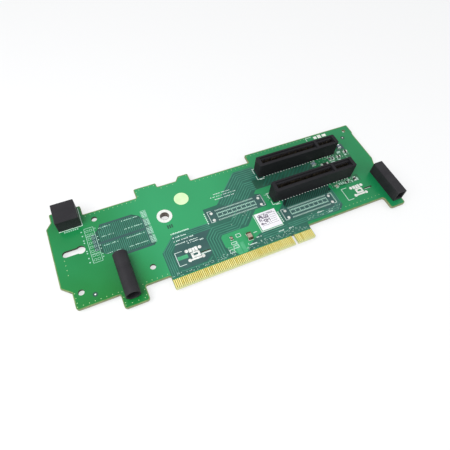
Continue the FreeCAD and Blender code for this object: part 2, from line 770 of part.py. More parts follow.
def slotted_guide_socket():
    """Oblong socket on the right foot, the second of the guide pair."""
    body = new_body("slotted_guide_socket")
    width, height, wall = "Sizes.bar_width", "Sizes.bar_height", "Sizes.bar_wall"
    bar = new_sketch(body, "bar_sketch", "XZ_Plane")
    rectangle(bar, "0", f"{height} / 2", width, height)
    pad(body, bar, "bar", "Sizes.guide_length", reverse=True)
    doc.recompute()
    half, top = value(width) / 2, value(height)

    def is_top_edge(start, end):
        along = abs(start.z - top) < 1e-6 and abs(end.z - top) < 1e-6
        return along and abs(abs(start.x) - half) < 1e-6 and abs(start.x - end.x) < 1e-6

    round_edges(body, edges_where(body.Shape, is_top_edge), "top_edges", "Sizes.bar_rounding")
    guide_pegs(body)
    mouth = new_sketch(body, "mouth_sketch", "XZ_Plane")
    rectangle(mouth, "0", f"{height} / 2", f"{width} - 2 * {wall}", f"{height} - 2 * {wall}")
    pocket(body, mouth, "mouth", "Sizes.guide_depth")
    opening = value(f"{width} / 2 - {wall}")

    def is_mouth_edge(start, end):
        in_mouth = abs(start.y) < 1e-6 and abs(end.y) < 1e-6
        inside = abs(start.x) < opening + 1e-6 and abs(end.x) < opening + 1e-6
        return in_mouth and inside and min(start.z, end.z) > 1e-6 and max(start.z, end.z) < top - 1e-6

    chamfer_edges(body, edges_where(body.Shape, is_mouth_edge), "mouth_edges", "Sizes.mouth_chamfer")
    place(body, "Sizes.bar_x", "Sizes.guide_mouth_y", BOARD_TOP)
    return body


def corner_block():
    """Solid moulded block at the upper left corner, flush with the top edge."""
    body = new_body("corner_block")
    base = new_sketch(body, "base_sketch")
    rectangle(base, "0", "-Sizes.block_length / 2", "Sizes.block_width", "Sizes.block_length")
    pad(body, base, "block", "Sizes.block_height")
    doc.recompute()
    height = value("Sizes.block_height")

    def above_the_board(start, end):
        return max(start.z, end.z) > height - 1e-6

    edges = edges_where(body.Shape, above_the_board)
    chamfer_edges(body, edges, "edges", "Sizes.block_chamfer")
    places = [(f"{sign}Sizes.block_peg_spread / 2", "-Sizes.block_length / 2") for sign in "-+"]
    add_pegs(body, places, "Sizes.block_peg_radius")
    place(body, "-Sizes.block_x", BLOCK_BACK, BOARD_TOP)
    return body


def mounting_bushing():
    """Bushing pressed through the board: flange on top, spacer below, open bore."""
    body = new_body("mounting_bushing")
    section = new_sketch(body, "section", "XZ_Plane")
    bore, barrel = "Sizes.bushing_bore_radius", "Sizes.bushing_barrel_radius"
    top, under = BOARD_TOP, f"-{BOARD_TOP}"
    polygon(section, [
        (bore, f"{under} - Sizes.spacer_length"),
        ("Sizes.spacer_radius", f"{under} - Sizes.spacer_length"),
        ("Sizes.spacer_radius", under),
        (barrel, under),
        (barrel, top),
        ("Sizes.flange_radius", top),
        ("Sizes.flange_radius", f"{top} + Sizes.flange_thickness"),
        (bore, f"{top} + Sizes.flange_thickness"),
    ])
    turned = body.newObject("PartDesign::Revolution", "mounting_bushing_turned")
    turned.Profile = section
    turned.ReferenceAxis = (section, ["V_Axis"])
    turned.Angle = 360
    place(body, "-Sizes.bushing_x", "Sizes.bushing_y")
    return body


# ---------------------------------------------------------------- stickers and chips


def round_sticker():
    disc = doc.addObject("Part::Cylinder", "round_sticker")
    disc.Label = "round_sticker"
    disc.setExpression("Radius", "Sizes.sticker_radius")
    disc.setExpression("Height", "Sizes.paper_thickness")
    place(disc, "-Sizes.sticker_x", "Sizes.sticker_y", BOARD_TOP)
    return disc


def add_box(name, length, width, height, x, y, z):
    """A Part box about a centre in plan, standing on z; all sizes are expressions."""
    box = doc.addObject("Part::Box", name)
    box.Label = name
    for side, size in (("Length", length), ("Width", width), ("Height", height)):
        box.setExpression(side, size)
    place(box, f"{x} - ({length}) / 2", f"{y} - ({width}) / 2", z)
    return box


def blank_label():
    return add_box("blank_label", "Sizes.label_width", "Sizes.label_height",
                   "Sizes.paper_thickness", "-Sizes.label_x", "Sizes.label_y", BOARD_TOP)


def chip_body(name, datum, way):
    """The moulded or fired body of a small part, between and inside its terminals."""
    wrap = "Sizes.terminal_wrap"
    along = f"Sizes.{name}_length - 2 * {wrap}"
    across = f"Sizes.{name}_width - 2 * {wrap}"
    height = f"Sizes.{name}_height - {wrap}"
    length, width = (along, across) if way == "X" else (across, along)
    x, y = f"Sizes.{name}_x", f"({CHIP_DATUMS[datum]} + Sizes.{name}_y)"
    return add_box(name, length, width, height, x, y, f"{BOARD_TOP} + {wrap} / 2")


def chip_terminals(name, datum, way):
    """The two plated caps that wrap a small part's ends."""
    length, width, height = (value(f"Sizes.{name}_{size}") for size in CHIP_SIZES[2:])
    wrap = value("Sizes.terminal_wrap")
    cap = length / 5
    inner = Part.makeBox(length - 2 * wrap, width - 2 * wrap, height - wrap,
                         Vector(wrap - length / 2, wrap - width / 2, wrap / 2))
    caps = []
    for start in (-length / 2, length / 2 - cap):
        outer = Part.makeBox(cap, width, height + wrap / 2, Vector(start, -width / 2, 0))
        caps.append(outer.cut(inner))
    node = solids_node(f"{name}_terminals", caps)
    if way == "Y":
        node.Placement.Rotation = FreeCAD.Rotation(Vector(0, 0, 1), 90)
    place(node, f"Sizes.{name}_x", f"{CHIP_DATUMS[datum]} + Sizes.{name}_y", BOARD_TOP)
    return node


# ---------------------------------------------------------------- the whole card


def build_card():
    nodes = [circuit_board()]
    nodes.append(edge_contacts("edge_contacts_front", front=True))
    nodes.append(edge_contacts("edge_contacts_back", front=False))
    for which, slot_y in SLOTS.items():
        nodes.append(slot_housing(f"{which}_slot_housing", slot_y))
        nodes.append(slot_contacts(f"{which}_slot_near_contacts", slot_y, -1))
        nodes.append(slot_contacts(f"{which}_slot_far_contacts", slot_y, 1))
    nodes += [round_guide_socket(), slotted_guide_socket(), corner_block(), mounting_bushing()]
    nodes += [round_sticker(), blank_label()]
    for name, (datum, *_, way) in CHIPS.items():
        nodes.append(chip_body(name, datum, way))
        nodes.append(chip_terminals(name, datum, way))
    return nodes


def check_and_write(nodes):
    """Stop on any failed object or bad shape, then write one STEP file per node."""
    doc.recompute()
    for item in doc.Objects:
        if {"Invalid", "Error"} & set(item.State):
            raise RuntimeError(f"{item.Label} failed: {item.State}")
    for node in nodes:
        if node.Shape.isNull() or not node.Shape.isValid():
            raise RuntimeError(f"{node.Label} has a bad shape")
    os.makedirs("parts", exist_ok=True)
    for node in nodes:
        node.Shape.exportStep(f"parts/{node.Label}.step")
        print(f"{node.Label}: {len(node.Shape.Solids)} solids, {node.Shape.Volume:.1f} mm3")


fill_sheet()
check_and_write(build_card())
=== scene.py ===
import json
import math
import random

import bmesh
import bpy
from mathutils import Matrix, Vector
from mathutils.geometry import tessellate_polygon


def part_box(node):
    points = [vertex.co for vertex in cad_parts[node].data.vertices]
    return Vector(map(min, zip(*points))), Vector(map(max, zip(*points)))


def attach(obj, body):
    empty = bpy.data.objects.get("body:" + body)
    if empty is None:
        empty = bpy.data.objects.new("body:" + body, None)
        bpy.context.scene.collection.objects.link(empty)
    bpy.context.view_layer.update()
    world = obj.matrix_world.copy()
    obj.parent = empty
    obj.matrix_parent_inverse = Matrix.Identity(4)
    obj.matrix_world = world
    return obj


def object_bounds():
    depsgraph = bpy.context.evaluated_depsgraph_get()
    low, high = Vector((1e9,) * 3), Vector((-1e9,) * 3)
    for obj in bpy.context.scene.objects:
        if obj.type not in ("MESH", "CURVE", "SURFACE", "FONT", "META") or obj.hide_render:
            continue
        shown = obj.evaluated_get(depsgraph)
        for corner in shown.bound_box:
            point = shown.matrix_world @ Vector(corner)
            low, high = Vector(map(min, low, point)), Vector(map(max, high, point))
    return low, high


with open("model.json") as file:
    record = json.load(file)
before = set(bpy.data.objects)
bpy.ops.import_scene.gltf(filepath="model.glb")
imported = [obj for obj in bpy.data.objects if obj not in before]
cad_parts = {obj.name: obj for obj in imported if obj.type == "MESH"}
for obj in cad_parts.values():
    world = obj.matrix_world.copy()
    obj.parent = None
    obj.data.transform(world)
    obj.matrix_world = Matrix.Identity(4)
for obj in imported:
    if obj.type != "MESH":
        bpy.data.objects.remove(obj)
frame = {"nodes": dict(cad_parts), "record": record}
cad_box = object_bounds()

# A PCIe riser card: a green circuit board with two black card slots, two guide
# sockets and a corner block. X runs along the card edge from its key notch, Y up from
# the edge, and Z out of the face that carries the slots. Lengths below are millimetres
# until mm() turns them into Blender's metres.

MM = 0.001
BOARD_LOW, BOARD_HIGH = (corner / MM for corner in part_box("circuit_board"))
TOP = BOARD_HIGH.z
UNDER = BOARD_LOW.z
INK = 0.012             # thickness of printed ink
TRACE = 0.007           # height of a trace under the mask
TIN = 0.03              # thickness of tinned lands
LAYER = 0.004           # step from one layer on the board's faces to the next
HAIR = 0.002            # thickness of the bare rims
RIM_WIDTH = 0.5         # bare laminate shown along the board's outline
FINE_LINE = 0.24        # widths of printed lines
BRACKET_LINE = 0.3
MARK_LINE = 0.34
SHARPEST_MITRE = 0.4    # limits how far a ribbon's corner may run out


def mm(x, y, z=0.0):
    """A place or size in millimetres as a vector in metres."""
    return Vector((x, y, z)) * MM


def node_box(name):
    """Lowest and highest corner of a CAD node in millimetres."""
    low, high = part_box(name)
    return low / MM, high / MM


# ---------- node trees


class Value:
    """A float socket that adds Math nodes when it meets an operator."""

    def __init__(self, maker, socket):
        self.maker = maker
        self.socket = socket

    def math(self, operation, *others):
        return self.maker.node("ShaderNodeMath", {"operation": operation},
                               dict(enumerate((self, *others))))

    def __add__(self, other):
        return self.math("ADD", other)

    __radd__ = __add__

    def __sub__(self, other):
        return self.math("SUBTRACT", other)

    def __rsub__(self, other):
        return self.math("MULTIPLY", -1.0).math("ADD", other)

    def __mul__(self, other):
        return self.math("MULTIPLY", other)

    __rmul__ = __mul__

    def __abs__(self):
        return self.math("ABSOLUTE")

    def ramp(self, start, end):
        """0 at start, 1 at end, held between."""
        low, high = min(start, end), max(start, end)
        grown = (self - low) * (1.0 / (high - low))
        held = grown.math("MAXIMUM", 0.0).math("MINIMUM", 1.0)
        return held if start < end else 1.0 - held


class NodeMaker:
    """Adds nodes to one tree and fills their sockets."""

    def __init__(self, tree):
        self.tree = tree

    def put(self, node, socket, amount):
        """Link or set one socket; a colour may be given as three numbers."""
        slot = node.inputs[socket]
        if isinstance(amount, Value):
            self.tree.links.new(amount.socket, slot)
        elif isinstance(amount, bpy.types.NodeSocket):
            self.tree.links.new(amount, slot)
        elif isinstance(amount, tuple) and slot.type == "RGBA":
            slot.default_value = (*amount, 1.0)
        else:
            slot.default_value = amount

    def node(self, kind, settings=None, sockets=None, output=0):
        """Add any node; its settings come first, then its sockets by name or number."""
        node = self.tree.nodes.new(kind)
        for name, amount in (settings or {}).items():
            setattr(node, name, amount)
        for socket, amount in (sockets or {}).items():
            self.put(node, socket, amount)
        out = node.outputs[output]
        return Value(self, out) if out.type == "VALUE" else out


MATERIALS = {}     # every finish by its name, filled in as each Finish is made


class Finish(NodeMaker):
    """One material: a Principled shader with helpers for the nodes that feed it."""

    def __init__(self, name, color, roughness, **sockets):
        self.material = MATERIALS[name] = bpy.data.materials.new(name)
        self.material.use_nodes = True
        super().__init__(self.material.node_tree)
        self.shader = self.tree.nodes["Principled BSDF"]
        self.color(color)
        self.roughness(roughness)
        for socket, amount in sockets.items():
            self.put(self.shader, socket.replace("_", " "), amount)

    def place(self):
        return self.node("ShaderNodeTexCoord", output="Object")

    def axis(self, letter):
        """One coordinate of the object, in millimetres."""
        return self.node("ShaderNodeSeparateXYZ", {}, {"Vector": self.place()}, letter) * (1 / MM)

    def noise(self, size, detail=3.0, roughness=0.5, stretch=(1, 1, 1)):
        """Noise about 0.5 whose blotches are size millimetres across."""
        place = self.node("ShaderNodeVectorMath", {"operation": "MULTIPLY"},
                          {0: self.place(), 1: stretch})
        return self.node("ShaderNodeTexNoise", {}, {"Vector": place, "Scale": 1 / (size * MM),
                                                    "Detail": detail, "Roughness": roughness})

    def mix(self, mask, low, high):
        """Blend two colours by a mask."""
        return self.node("ShaderNodeMix", {"data_type": "RGBA"}, {0: mask, 6: low, 7: high}, 2)

    def color(self, amount):
        self.put(self.shader, "Base Color", amount)

    def roughness(self, amount):
        self.put(self.shader, "Roughness", amount)

    def bump(self, height, depth, strength):
        """Relief of a depth in millimetres."""
        sockets = {"Height": height, "Distance": depth * MM, "Strength": strength}
        self.put(self.shader, "Normal", self.node("ShaderNodeBump", {}, sockets))


def blotched(finish, size, dark, light):
    """Slow colour variation between two shades."""
    mask = finish.noise(size).ramp(0.35, 0.65)
    finish.color(finish.mix(mask, dark, light))
    return mask


# ---------- materials

# Lit and shaded copies of the board's one green: painted light near the card's middle, painted shade towards
# its ends and over its lower left.
GREEN_PAINTED_LIT = (0.025, 0.292, 0.108)
GREEN_PAINTED_SHADE = (0.006, 0.208, 0.066)
GREEN_PAINTED_SHADE_LEFT = (0.0, 0.152, 0.012)
LAMINATE = (0.3, 0.31, 0.19)
# Painted shade: the dark colour given to the walls of the holes inside the board.
HOLE_WALL_PAINTED_SHADE = (0.045, 0.06, 0.032)
BARE_GAP = (0.055, 0.055, 0.012)
# Painted light: the cut edge under the gold pads is much paler than the laminate elsewhere, as a lit strip.
TAB_EDGE_PAINTED_LIGHT = (0.56, 0.57, 0.28)
FINGER_TOP = 5.75


def board_finish():
    """Green solder mask on both faces, with painted light and shade in its green, and bare laminate between
    the pads and on cut edges, painted dark in the holes and pale at the tab.
    """
    finish = Finish("solder_mask_laminate", GREEN_PAINTED_LIT, 0.34, Coat_Weight=0.1, Coat_Roughness=0.16,
                    Specular_IOR_Level=0.3)
    height, along = finish.axis("Y"), finish.axis("X")
    # Painted light and shade: the green is brightest near x = -48 and darker towards both ends, and the next
    # mask paints shade over the lower left.
    painted_light_pool = abs(along + 48.0).ramp(66, 18)
    left = along.ramp(-72, -84) * height.ramp(34, 6) * 0.6 + along.ramp(-76, -100) * 0.4
    green = finish.mix(left, finish.mix(painted_light_pool, GREEN_PAINTED_SHADE, GREEN_PAINTED_LIT), GREEN_PAINTED_SHADE_LEFT)
    cloud = finish.noise(26.0, 2.0).ramp(0.3, 0.7)
    green = finish.mix(cloud * 0.12, green, (0.03, 0.42, 0.16))
    layers = finish.noise(0.22, 2.0, stretch=(0.08, 0.08, 1))
    edge = finish.mix(layers.ramp(0.35, 0.65), (0.19, 0.19, 0.1), LAMINATE)
    # Painted shade: cut walls inside the board's outline, the walls of its holes, are painted dark.
    hole_wall_region = height.ramp(11.0, 11.4) * height.ramp(62.4, 62.0) * along.ramp(-122.4, -122.0)
    edge = finish.mix(hole_wall_region * along.ramp(76.2, 75.8), edge, HOLE_WALL_PAINTED_SHADE)
    tab = height.ramp(FINGER_TOP + 0.02, FINGER_TOP - 0.02) * along.ramp(-72.6, -72.5)
    tab = tab * along.ramp(12.7, 12.6)
    green = finish.mix(tab, green, BARE_GAP)
    # Painted light: the tab's cut edge is painted pale, as a lit strip.
    edge = finish.mix(tab, edge, TAB_EDGE_PAINTED_LIGHT)
    cut = 1.0 - abs(finish.axis("Z")).ramp(TOP - 0.03, TOP - 0.005)
    finish.color(finish.mix(cut, green, edge))
    finish.roughness(cut * 0.4 + 0.3 + cloud * 0.06)
    weave = finish.noise(0.5, 2.0, stretch=(1, 1, 0.2))
    finish.bump(weave, 0.012, 0.5)


def masked_copper(name, dark, light, size=9.0):
    """Copper under the solder mask, seen as a darker or lighter green."""
    finish = Finish(name, dark, 0.34, Coat_Weight=0.1, Coat_Roughness=0.18, Specular_IOR_Level=0.3)
    blotched(finish, size, dark, light)
    finish.bump(finish.noise(0.6, 2.0), 0.01, 0.4)


def ink_finish(name, color, shade):
    """Screen printed ink with slightly broken cover."""
    finish = Finish(name, color, 0.55)
    worn = finish.noise(0.35, 3.0).ramp(0.5, 0.72)
    finish.color(finish.mix(worn * 0.45, color, shade))
    finish.bump(worn, 0.01, 0.6)


def metal_finish(name, color, shade, roughness):
    """Plated metal with slightly dulled patches."""
    finish = Finish(name, color, roughness, Metallic=1.0)
    patch = blotched(finish, 1.2, shade, color)
    finish.roughness(patch * 0.12 + roughness)
    finish.bump(finish.noise(0.18, 3.0), 0.008, 0.5)


def bushing_finish():
    """Tinned flange with a dull brown bore, darkened by painted shade inside it."""
    low, high = node_box("mounting_bushing")
    middle = (low + high) / 2
    finish = Finish("bushing_metal", (0.86, 0.88, 0.84), 0.36)
    across, along = finish.axis("X") - middle.x, finish.axis("Y") - middle.y
    radius = (across * across + along * along).math("SQRT")
    face = radius.ramp(2.62, 2.7)
    tarnish = finish.noise(0.9, 3.0).ramp(0.35, 0.65)
    tin = finish.mix(tarnish, (0.72, 0.75, 0.7), (0.88, 0.9, 0.86))
    # Painted shade: the bore's dark brown stands for shade inside the bushing.
    painted_shade_bore = finish.mix(tarnish, (0.05, 0.035, 0.028), (0.16, 0.12, 0.09))
    finish.color(finish.mix(face, painted_shade_bore, tin))
    finish.put(finish.shader, "Metallic", face * 0.5)
    finish.bump(finish.noise(0.18, 3.0), 0.008, 0.5)


def edge_gold_finish():
    """Gold pads, paler and rubbed towards the bevel."""
    finish = Finish("gold_plating", (0.83, 0.63, 0.2), 0.3, Metallic=0.85)
    height = finish.axis("Y")
    rubbed = (1.0 - height.ramp(0.4, 2.6)) * 0.7
    streaks = finish.noise(0.5, 3.0, stretch=(2.5, 0.4, 1)).ramp(0.4, 0.62)
    pad = finish.axis("X").math("FLOOR")
    shade = finish.node("ShaderNodeTexWhiteNoise", {"noise_dimensions": "1D"}, {"W": pad})
    streaks = streaks * 0.4 + shade * 0.6
    tone = finish.mix(streaks, (0.8, 0.64, 0.13), (0.99, 0.92, 0.38))
    finish.color(finish.mix(rubbed, tone, (0.82, 0.8, 0.38)))
    finish.roughness(streaks * 0.14 + 0.26)
    finish.bump(finish.noise(0.12, 3.0), 0.006, 0.5)


def moulded_finish(name, dark, light, roughness, grain=0.25, gloss=0.2):
    """Black moulded plastic with a fine spark-eroded grain and faint flow marks."""
    finish = Finish(name, light, roughness, Specular_IOR_Level=gloss)
    flow = finish.noise(7.0, 2.0, stretch=(0.3, 1, 1)).ramp(0.3, 0.7)
    finish.color(finish.mix(flow, dark, light))
    grit = finish.noise(grain, 4.0, 0.65)
    finish.roughness(grit * 0.22 + roughness - 0.1)
    finish.bump(grit, 0.03, 0.55)


def paper_finish(name, color, shade):
    """Coated sticker paper."""
    finish = Finish(name, color, 0.5, Coat_Weight=0.15, Coat_Roughness=0.3)
    blotched(finish, 3.0, shade, color)
    finish.bump(finish.noise(0.25, 4.0), 0.012, 0.5)


def fired_finish(name, dark, light):
    """Fired ceramic or ferrite: speckled and dull."""
    finish = Finish(name, light, 0.55)
    speck = finish.noise(0.3, 4.0).ramp(0.42, 0.6)
    finish.color(finish.mix(speck, dark, light))
    finish.bump(speck, 0.02, 0.5)


def make_finishes():
    """Every finish on the card; those of CAD nodes are named for their slots in the record."""
    board_finish()
    masked_copper("bare_rim", (0.1, 0.21, 0.055), (0.2, 0.29, 0.1), 4.0)
    masked_copper("teal_copper", (0.015, 0.102, 0.07), (0.022, 0.124, 0.084))
    masked_copper("field_copper", (0.011, 0.07, 0.048), (0.017, 0.09, 0.062))
    masked_copper("deep_copper", (0.026, 0.08, 0.075), (0.036, 0.102, 0.092))
    masked_copper("ground_copper", (0.012, 0.066, 0.042), (0.022, 0.09, 0.055))
    masked_copper("shaded_copper", (0.005, 0.018, 0.015), (0.01, 0.03, 0.024))
    masked_copper("dark_mask", (0.01, 0.12, 0.045), (0.016, 0.16, 0.06))
    masked_copper("bright_mask", (0.05, 0.33, 0.15), (0.09, 0.42, 0.2), 3.0)
    masked_copper("trace_copper", (0.034, 0.18, 0.118), (0.05, 0.235, 0.155), 5.0)
    ink_finish("via_mask", (0.5, 0.72, 0.36), (0.2, 0.5, 0.2))
    ink_finish("white_ink", (0.7, 0.82, 0.75), (0.3, 0.55, 0.42))
    ink_finish("thin_ink", (0.38, 0.62, 0.5), (0.16, 0.42, 0.27))
    ink_finish("label_ink", (0.12, 0.1, 0.14), (0.36, 0.33, 0.38))
    ink_finish("trace_tin", (0.42, 0.6, 0.5), (0.2, 0.4, 0.3))
    ink_finish("solder", (0.86, 0.88, 0.84), (0.6, 0.64, 0.6))
    edge_gold_finish()
    bushing_finish()
    metal_finish("spring_alloy", (0.17, 0.14, 0.09), (0.08, 0.065, 0.045), 0.42)
    metal_finish("tin", (0.9, 0.92, 0.88), (0.68, 0.7, 0.66), 0.38)
    # Painted shade: the two capacitors' tinned ends are painted dark brown, as tin in shade.
    metal_finish("dull_tin", (0.13, 0.1, 0.06), (0.05, 0.04, 0.025), 0.5)
    moulded_finish("slot_plastic", (0.013, 0.0125, 0.0145), (0.019, 0.0185, 0.021), 0.5, gloss=0.12)
    moulded_finish("guide_plastic", (0.016, 0.015, 0.018), (0.026, 0.025, 0.028), 0.55)
    moulded_finish("chip_package", (0.012, 0.012, 0.012), (0.03, 0.03, 0.03), 0.45, grain=0.12)
    paper_finish("sticker_paper", (0.68, 0.86, 0.5), (0.6, 0.8, 0.44))
    paper_finish("label_paper", (0.86, 0.84, 0.86), (0.78, 0.76, 0.8))
    fired_finish("capacitor_ceramic", (0.3, 0.23, 0.17), (0.46, 0.37, 0.29))
    fired_finish("coil_ferrite", (0.10, 0.15, 0.18), (0.2, 0.27, 0.32))


TINNED = "tinned_terminals"    # the record's slot for lands, solder and plated ends
# The capacitors whose tinned ends are painted dark, as shade.
SHADED_ENDS = ("bulk_capacitor_terminals", "filter_capacitor_terminals")


def dress_cad_nodes():
    """Give each CAD node the finish of its slot in the record."""
    for part in frame["record"]["subparts"]:
        name, finish_name = part["node"], part["material_slot"]
        if finish_name == TINNED:
            finish_name = "dull_tin" if name in SHADED_ENDS else "tin"
        mesh = frame["nodes"][name].data
        mesh.materials.clear()
        mesh.materials.append(MATERIALS[finish_name])


# ---------- mesh helpers


def linked(name, data):
    """A new object at the origin, linked to the scene."""
    obj = bpy.data.objects.new(name, data)
    bpy.context.scene.collection.objects.link(obj)
    return obj


def keep_piece(name, mesh):
    """Fix a finished mesh to the card."""
    piece = linked(name, mesh)
    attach(piece, "root")


def make_piece(name, bm, material):
    """Turn a bmesh in millimetres into a piece."""
    bmesh.ops.scale(bm, vec=(MM, MM, MM), verts=bm.verts)
    bmesh.ops.recalc_face_normals(bm, faces=bm.faces)
    mesh = bpy.data.meshes.new(name)
    bm.to_mesh(mesh)
    bm.free()
    mesh.materials.append(MATERIALS[material])
    keep_piece(name, mesh)


def add_slab(bm, points, low, high, holes=()):
    """A closed flat slab through plan points, with any holes given the same way."""
    rings = [list(points), *[list(hole) for hole in holes]]
    bottom = [[bm.verts.new((x, y, low)) for x, y in ring] for ring in rings]
    top = [[bm.verts.new((x, y, high)) for x, y in ring] for ring in rings]
    if holes:
        flat_low, flat_high = sum(bottom, []), sum(top, [])
        plan = [[Vector((x, y, 0.0)) for x, y in ring] for ring in rings]
        for triangle in tessellate_polygon(plan):
            bm.faces.new([flat_high[corner] for corner in triangle])
            bm.faces.new([flat_low[corner] for corner in reversed(triangle)])
    else:
        bm.faces.new(top[0])
        bm.faces.new(bottom[0][::-1])
    for lower, upper in zip(bottom, top):
        for number in range(len(lower)):
            after = (number + 1) % len(lower)
            bm.faces.new((lower[number], lower[after], upper[after], upper[number]))


def rect(x0, y0, x1, y1):
    """The corners of a rectangle between two opposite ones."""
    return [(x0, y0), (x1, y0), (x1, y1), (x0, y1)]


def ring_points(x, y, radius, sides=20):
    """Points evenly round a circle."""
    turns = [2 * math.pi * number / sides for number in range(sides)]
    return [(x + radius * math.cos(turn), y + radius * math.sin(turn)) for turn in turns]


def offset_line(points, offset, closed=False):
    """A polyline or closed outline moved sideways to its left, with mitred corners."""
    count = len(points)
    moved = []
    for number in range(count):
        here = Vector(points[number])
        runs = []
        if closed or number > 0:
            runs.append(here - Vector(points[number - 1]))
        if closed or number < count - 1:
            runs.append(Vector(points[(number + 1) % count]) - here)
        sides = [Vector((-run.y, run.x)).normalized() for run in runs]
        bisector = sum(sides, Vector((0.0, 0.0))).normalized()
        moved.append(tuple(here + bisector * (offset / max(bisector.dot(sides[0]), SHARPEST_MITRE))))
    return moved


def add_ribbon(bm, points, width, low, high):
    """A flat ribbon of one width along an open polyline."""
    left, right = offset_line(points, width / 2), offset_line(points, -width / 2)
    add_slab(bm, right + left[::-1], low, high)


def add_frame(bm, x0, y0, x1, y1, width, low, high):
    """A rectangular outline of printed line."""
    corners = rect(x0, y0, x1, y1)
    for start, end in zip(corners, corners[1:] + corners[:1]):
        add_ribbon(bm, [start, end], width, low, high)


def flat_piece(name, outlines, low, high, material):
    """A piece of flat slabs that share one thickness."""
    bm = bmesh.new()
    for outline in outlines:
        add_slab(bm, outline, low, high)
    make_piece(name, bm, material)


def add_bundles(bm, bundles, width, low, high):
    """Parallel ribbons beside each bundle's middle line."""
    for middle, count, pitch in bundles:
        for number in range(count):
            offset = (number - (count - 1) / 2) * pitch
            add_ribbon(bm, offset_line(middle, offset), width, low, high)


# ---------- camera and light


CAMERA_LENS = 30.99
CAMERA_PLACE = (-90.9, -76.7, 187.7)
CAMERA_TURN = (32.173, -3.337, -24.013)    # degrees
FLOOR_REACH = 3000.0
FLOOR_WHITE = 0.68    # how much of the floor's shade the camera sees as plain white


def add_camera():
    """The view from above and in front of the card, by its left end."""
    data = bpy.data.cameras.new("camera")
    data.lens = CAMERA_LENS
    data.clip_start = 10 * MM
    camera = linked("camera", data)
    camera.location = mm(*CAMERA_PLACE)
    camera.rotation_euler = [math.radians(turn) for turn in CAMERA_TURN]
    bpy.context.scene.camera = camera


def add_softbox(name, place, target, size, power):
    """A rectangular lamp that faces its target."""
    data = bpy.data.lights.new(name, "AREA")
    data.shape = "RECTANGLE"
    data.size, data.size_y = (side * MM for side in size)
    data.energy = power
    lamp = linked(name, data)
    lamp.location = mm(*place)
    lamp.rotation_euler = (mm(*target) - lamp.location).to_track_quat("-Z", "Y").to_euler()


def bright_background(maker, lit, end, share):
    """Show the camera, reflections and glass a share of plain white in place of the lit shade."""
    camera, glossy, through = (
        maker.node("ShaderNodeLightPath", output=f"Is {ray} Ray")
        for ray in ("Camera", "Glossy", "Transmission")
    )
    seen = camera.math("MAXIMUM", glossy.math("MAXIMUM", through))
    white = maker.node("ShaderNodeEmission")
    blend = maker.node("ShaderNodeMixShader", {}, {0: seen * share, 1: lit, 2: white})
    maker.put(end, "Surface", blend)


def add_floor():
    """A pale table under the card, near white to the camera, with the card's faint shade."""
    level = cad_box[0].z / MM
    corners = rect(-FLOOR_REACH, -FLOOR_REACH, FLOOR_REACH, FLOOR_REACH)
    mesh = bpy.data.meshes.new("floor")
    mesh.from_pydata([mm(x, y, level) for x, y in corners], [], [(0, 1, 2, 3)])
    finish = Finish("floor", (0.88, 0.88, 0.88), 0.7)
    end = finish.tree.nodes["Material Output"]
    bright_background(finish, finish.shader.outputs[0], end, FLOOR_WHITE)
    mesh.materials.append(finish.material)
    floor = linked("floor", mesh)


def add_world():
    """Soft sky light, and plain white behind the floor."""
    world = bpy.data.worlds.new("studio")
    bpy.context.scene.world = world
    world.use_nodes = True
    maker = NodeMaker(world.node_tree)
    sky = maker.tree.nodes["Background"]
    maker.put(sky, "Color", (0.93, 0.96, 1.0))
    maker.put(sky, "Strength", 0.62)
    bright_background(maker, sky.outputs[0], maker.tree.nodes["World Output"], 1.0)


# ---------- geometry node trees


class GrowTree(NodeMaker):
    """A Geometry Nodes tree with named inputs, built by calls."""

    def __init__(self, name, **inputs):
        super().__init__(bpy.data.node_groups.new(name, "GeometryNodeTree"))
        kinds = {float: "NodeSocketFloat", int: "NodeSocketInt", tuple: "NodeSocketVector"}
        self.add_socket("Geometry", "INPUT", "NodeSocketGeometry")
        for label, default in inputs.items():
            if default is None:
                self.add_socket(label, "INPUT", "NodeSocketMaterial")
            else:
                self.add_socket(label, "INPUT", kinds[type(default)]).default_value = default
        self.add_socket("Geometry", "OUTPUT", "NodeSocketGeometry")
        self.inputs = self.tree.nodes.new("NodeGroupInput").outputs
        self.output = self.tree.nodes.new("NodeGroupOutput")

    def add_socket(self, label, side, kind):
        return self.tree.interface.new_socket(label, in_out=side, socket_type=kind)

    def dot(self, sides):
        """A short upright cylinder of the radius and height that the tree is given."""
        sockets = {"Vertices": sides, "Radius": self.inputs["Radius"], "Depth": self.inputs["Height"]}
        return self.node("GeometryNodeMeshCylinder", {}, sockets)

    def place_at(self, points, form, **extras):
        """Put a copy of the form at every point, in real meshes that carry the material."""
        sockets = {"Points": points, "Instance": form, **extras}
        placed = self.node("GeometryNodeInstanceOnPoints", {}, sockets)
        real = self.node("GeometryNodeRealizeInstances", {}, {"Geometry": placed})
        sockets = {"Geometry": real, "Material": self.inputs["Material"]}
        self.put(self.output, 0, self.node("GeometryNodeSetMaterial", {}, sockets))
        return self.tree


def grow(name, tree_name, start, material, slot_name, **inputs):
    """Run a tree on a starting mesh or curve and keep the result as a plain piece."""
    tree = TREES[tree_name]
    inputs["Material"] = MATERIALS[material]
    carrier = linked(f"{name}_carrier", start)
    modifier = carrier.modifiers.new("grow", "NODES")
    modifier.node_group = tree
    for item in tree.interface.items_tree:
        if item.in_out == "INPUT" and item.name in inputs:
            modifier[item.identifier] = inputs[item.name]
    graph = bpy.context.evaluated_depsgraph_get()
    mesh = bpy.data.meshes.new_from_object(carrier.evaluated_get(graph))
    mesh.name = name
    carrier.modifiers.remove(modifier)
    bpy.data.objects.remove(carrier)
    keep_piece(name, mesh)


def dots_tree():
    """Small round dots at every point of the starting mesh."""
    maker = GrowTree("dots", Radius=0.001, Height=0.001, Sides=10, Material=None)
    return maker.place_at(maker.inputs["Geometry"], maker.dot(maker.inputs["Sides"]))


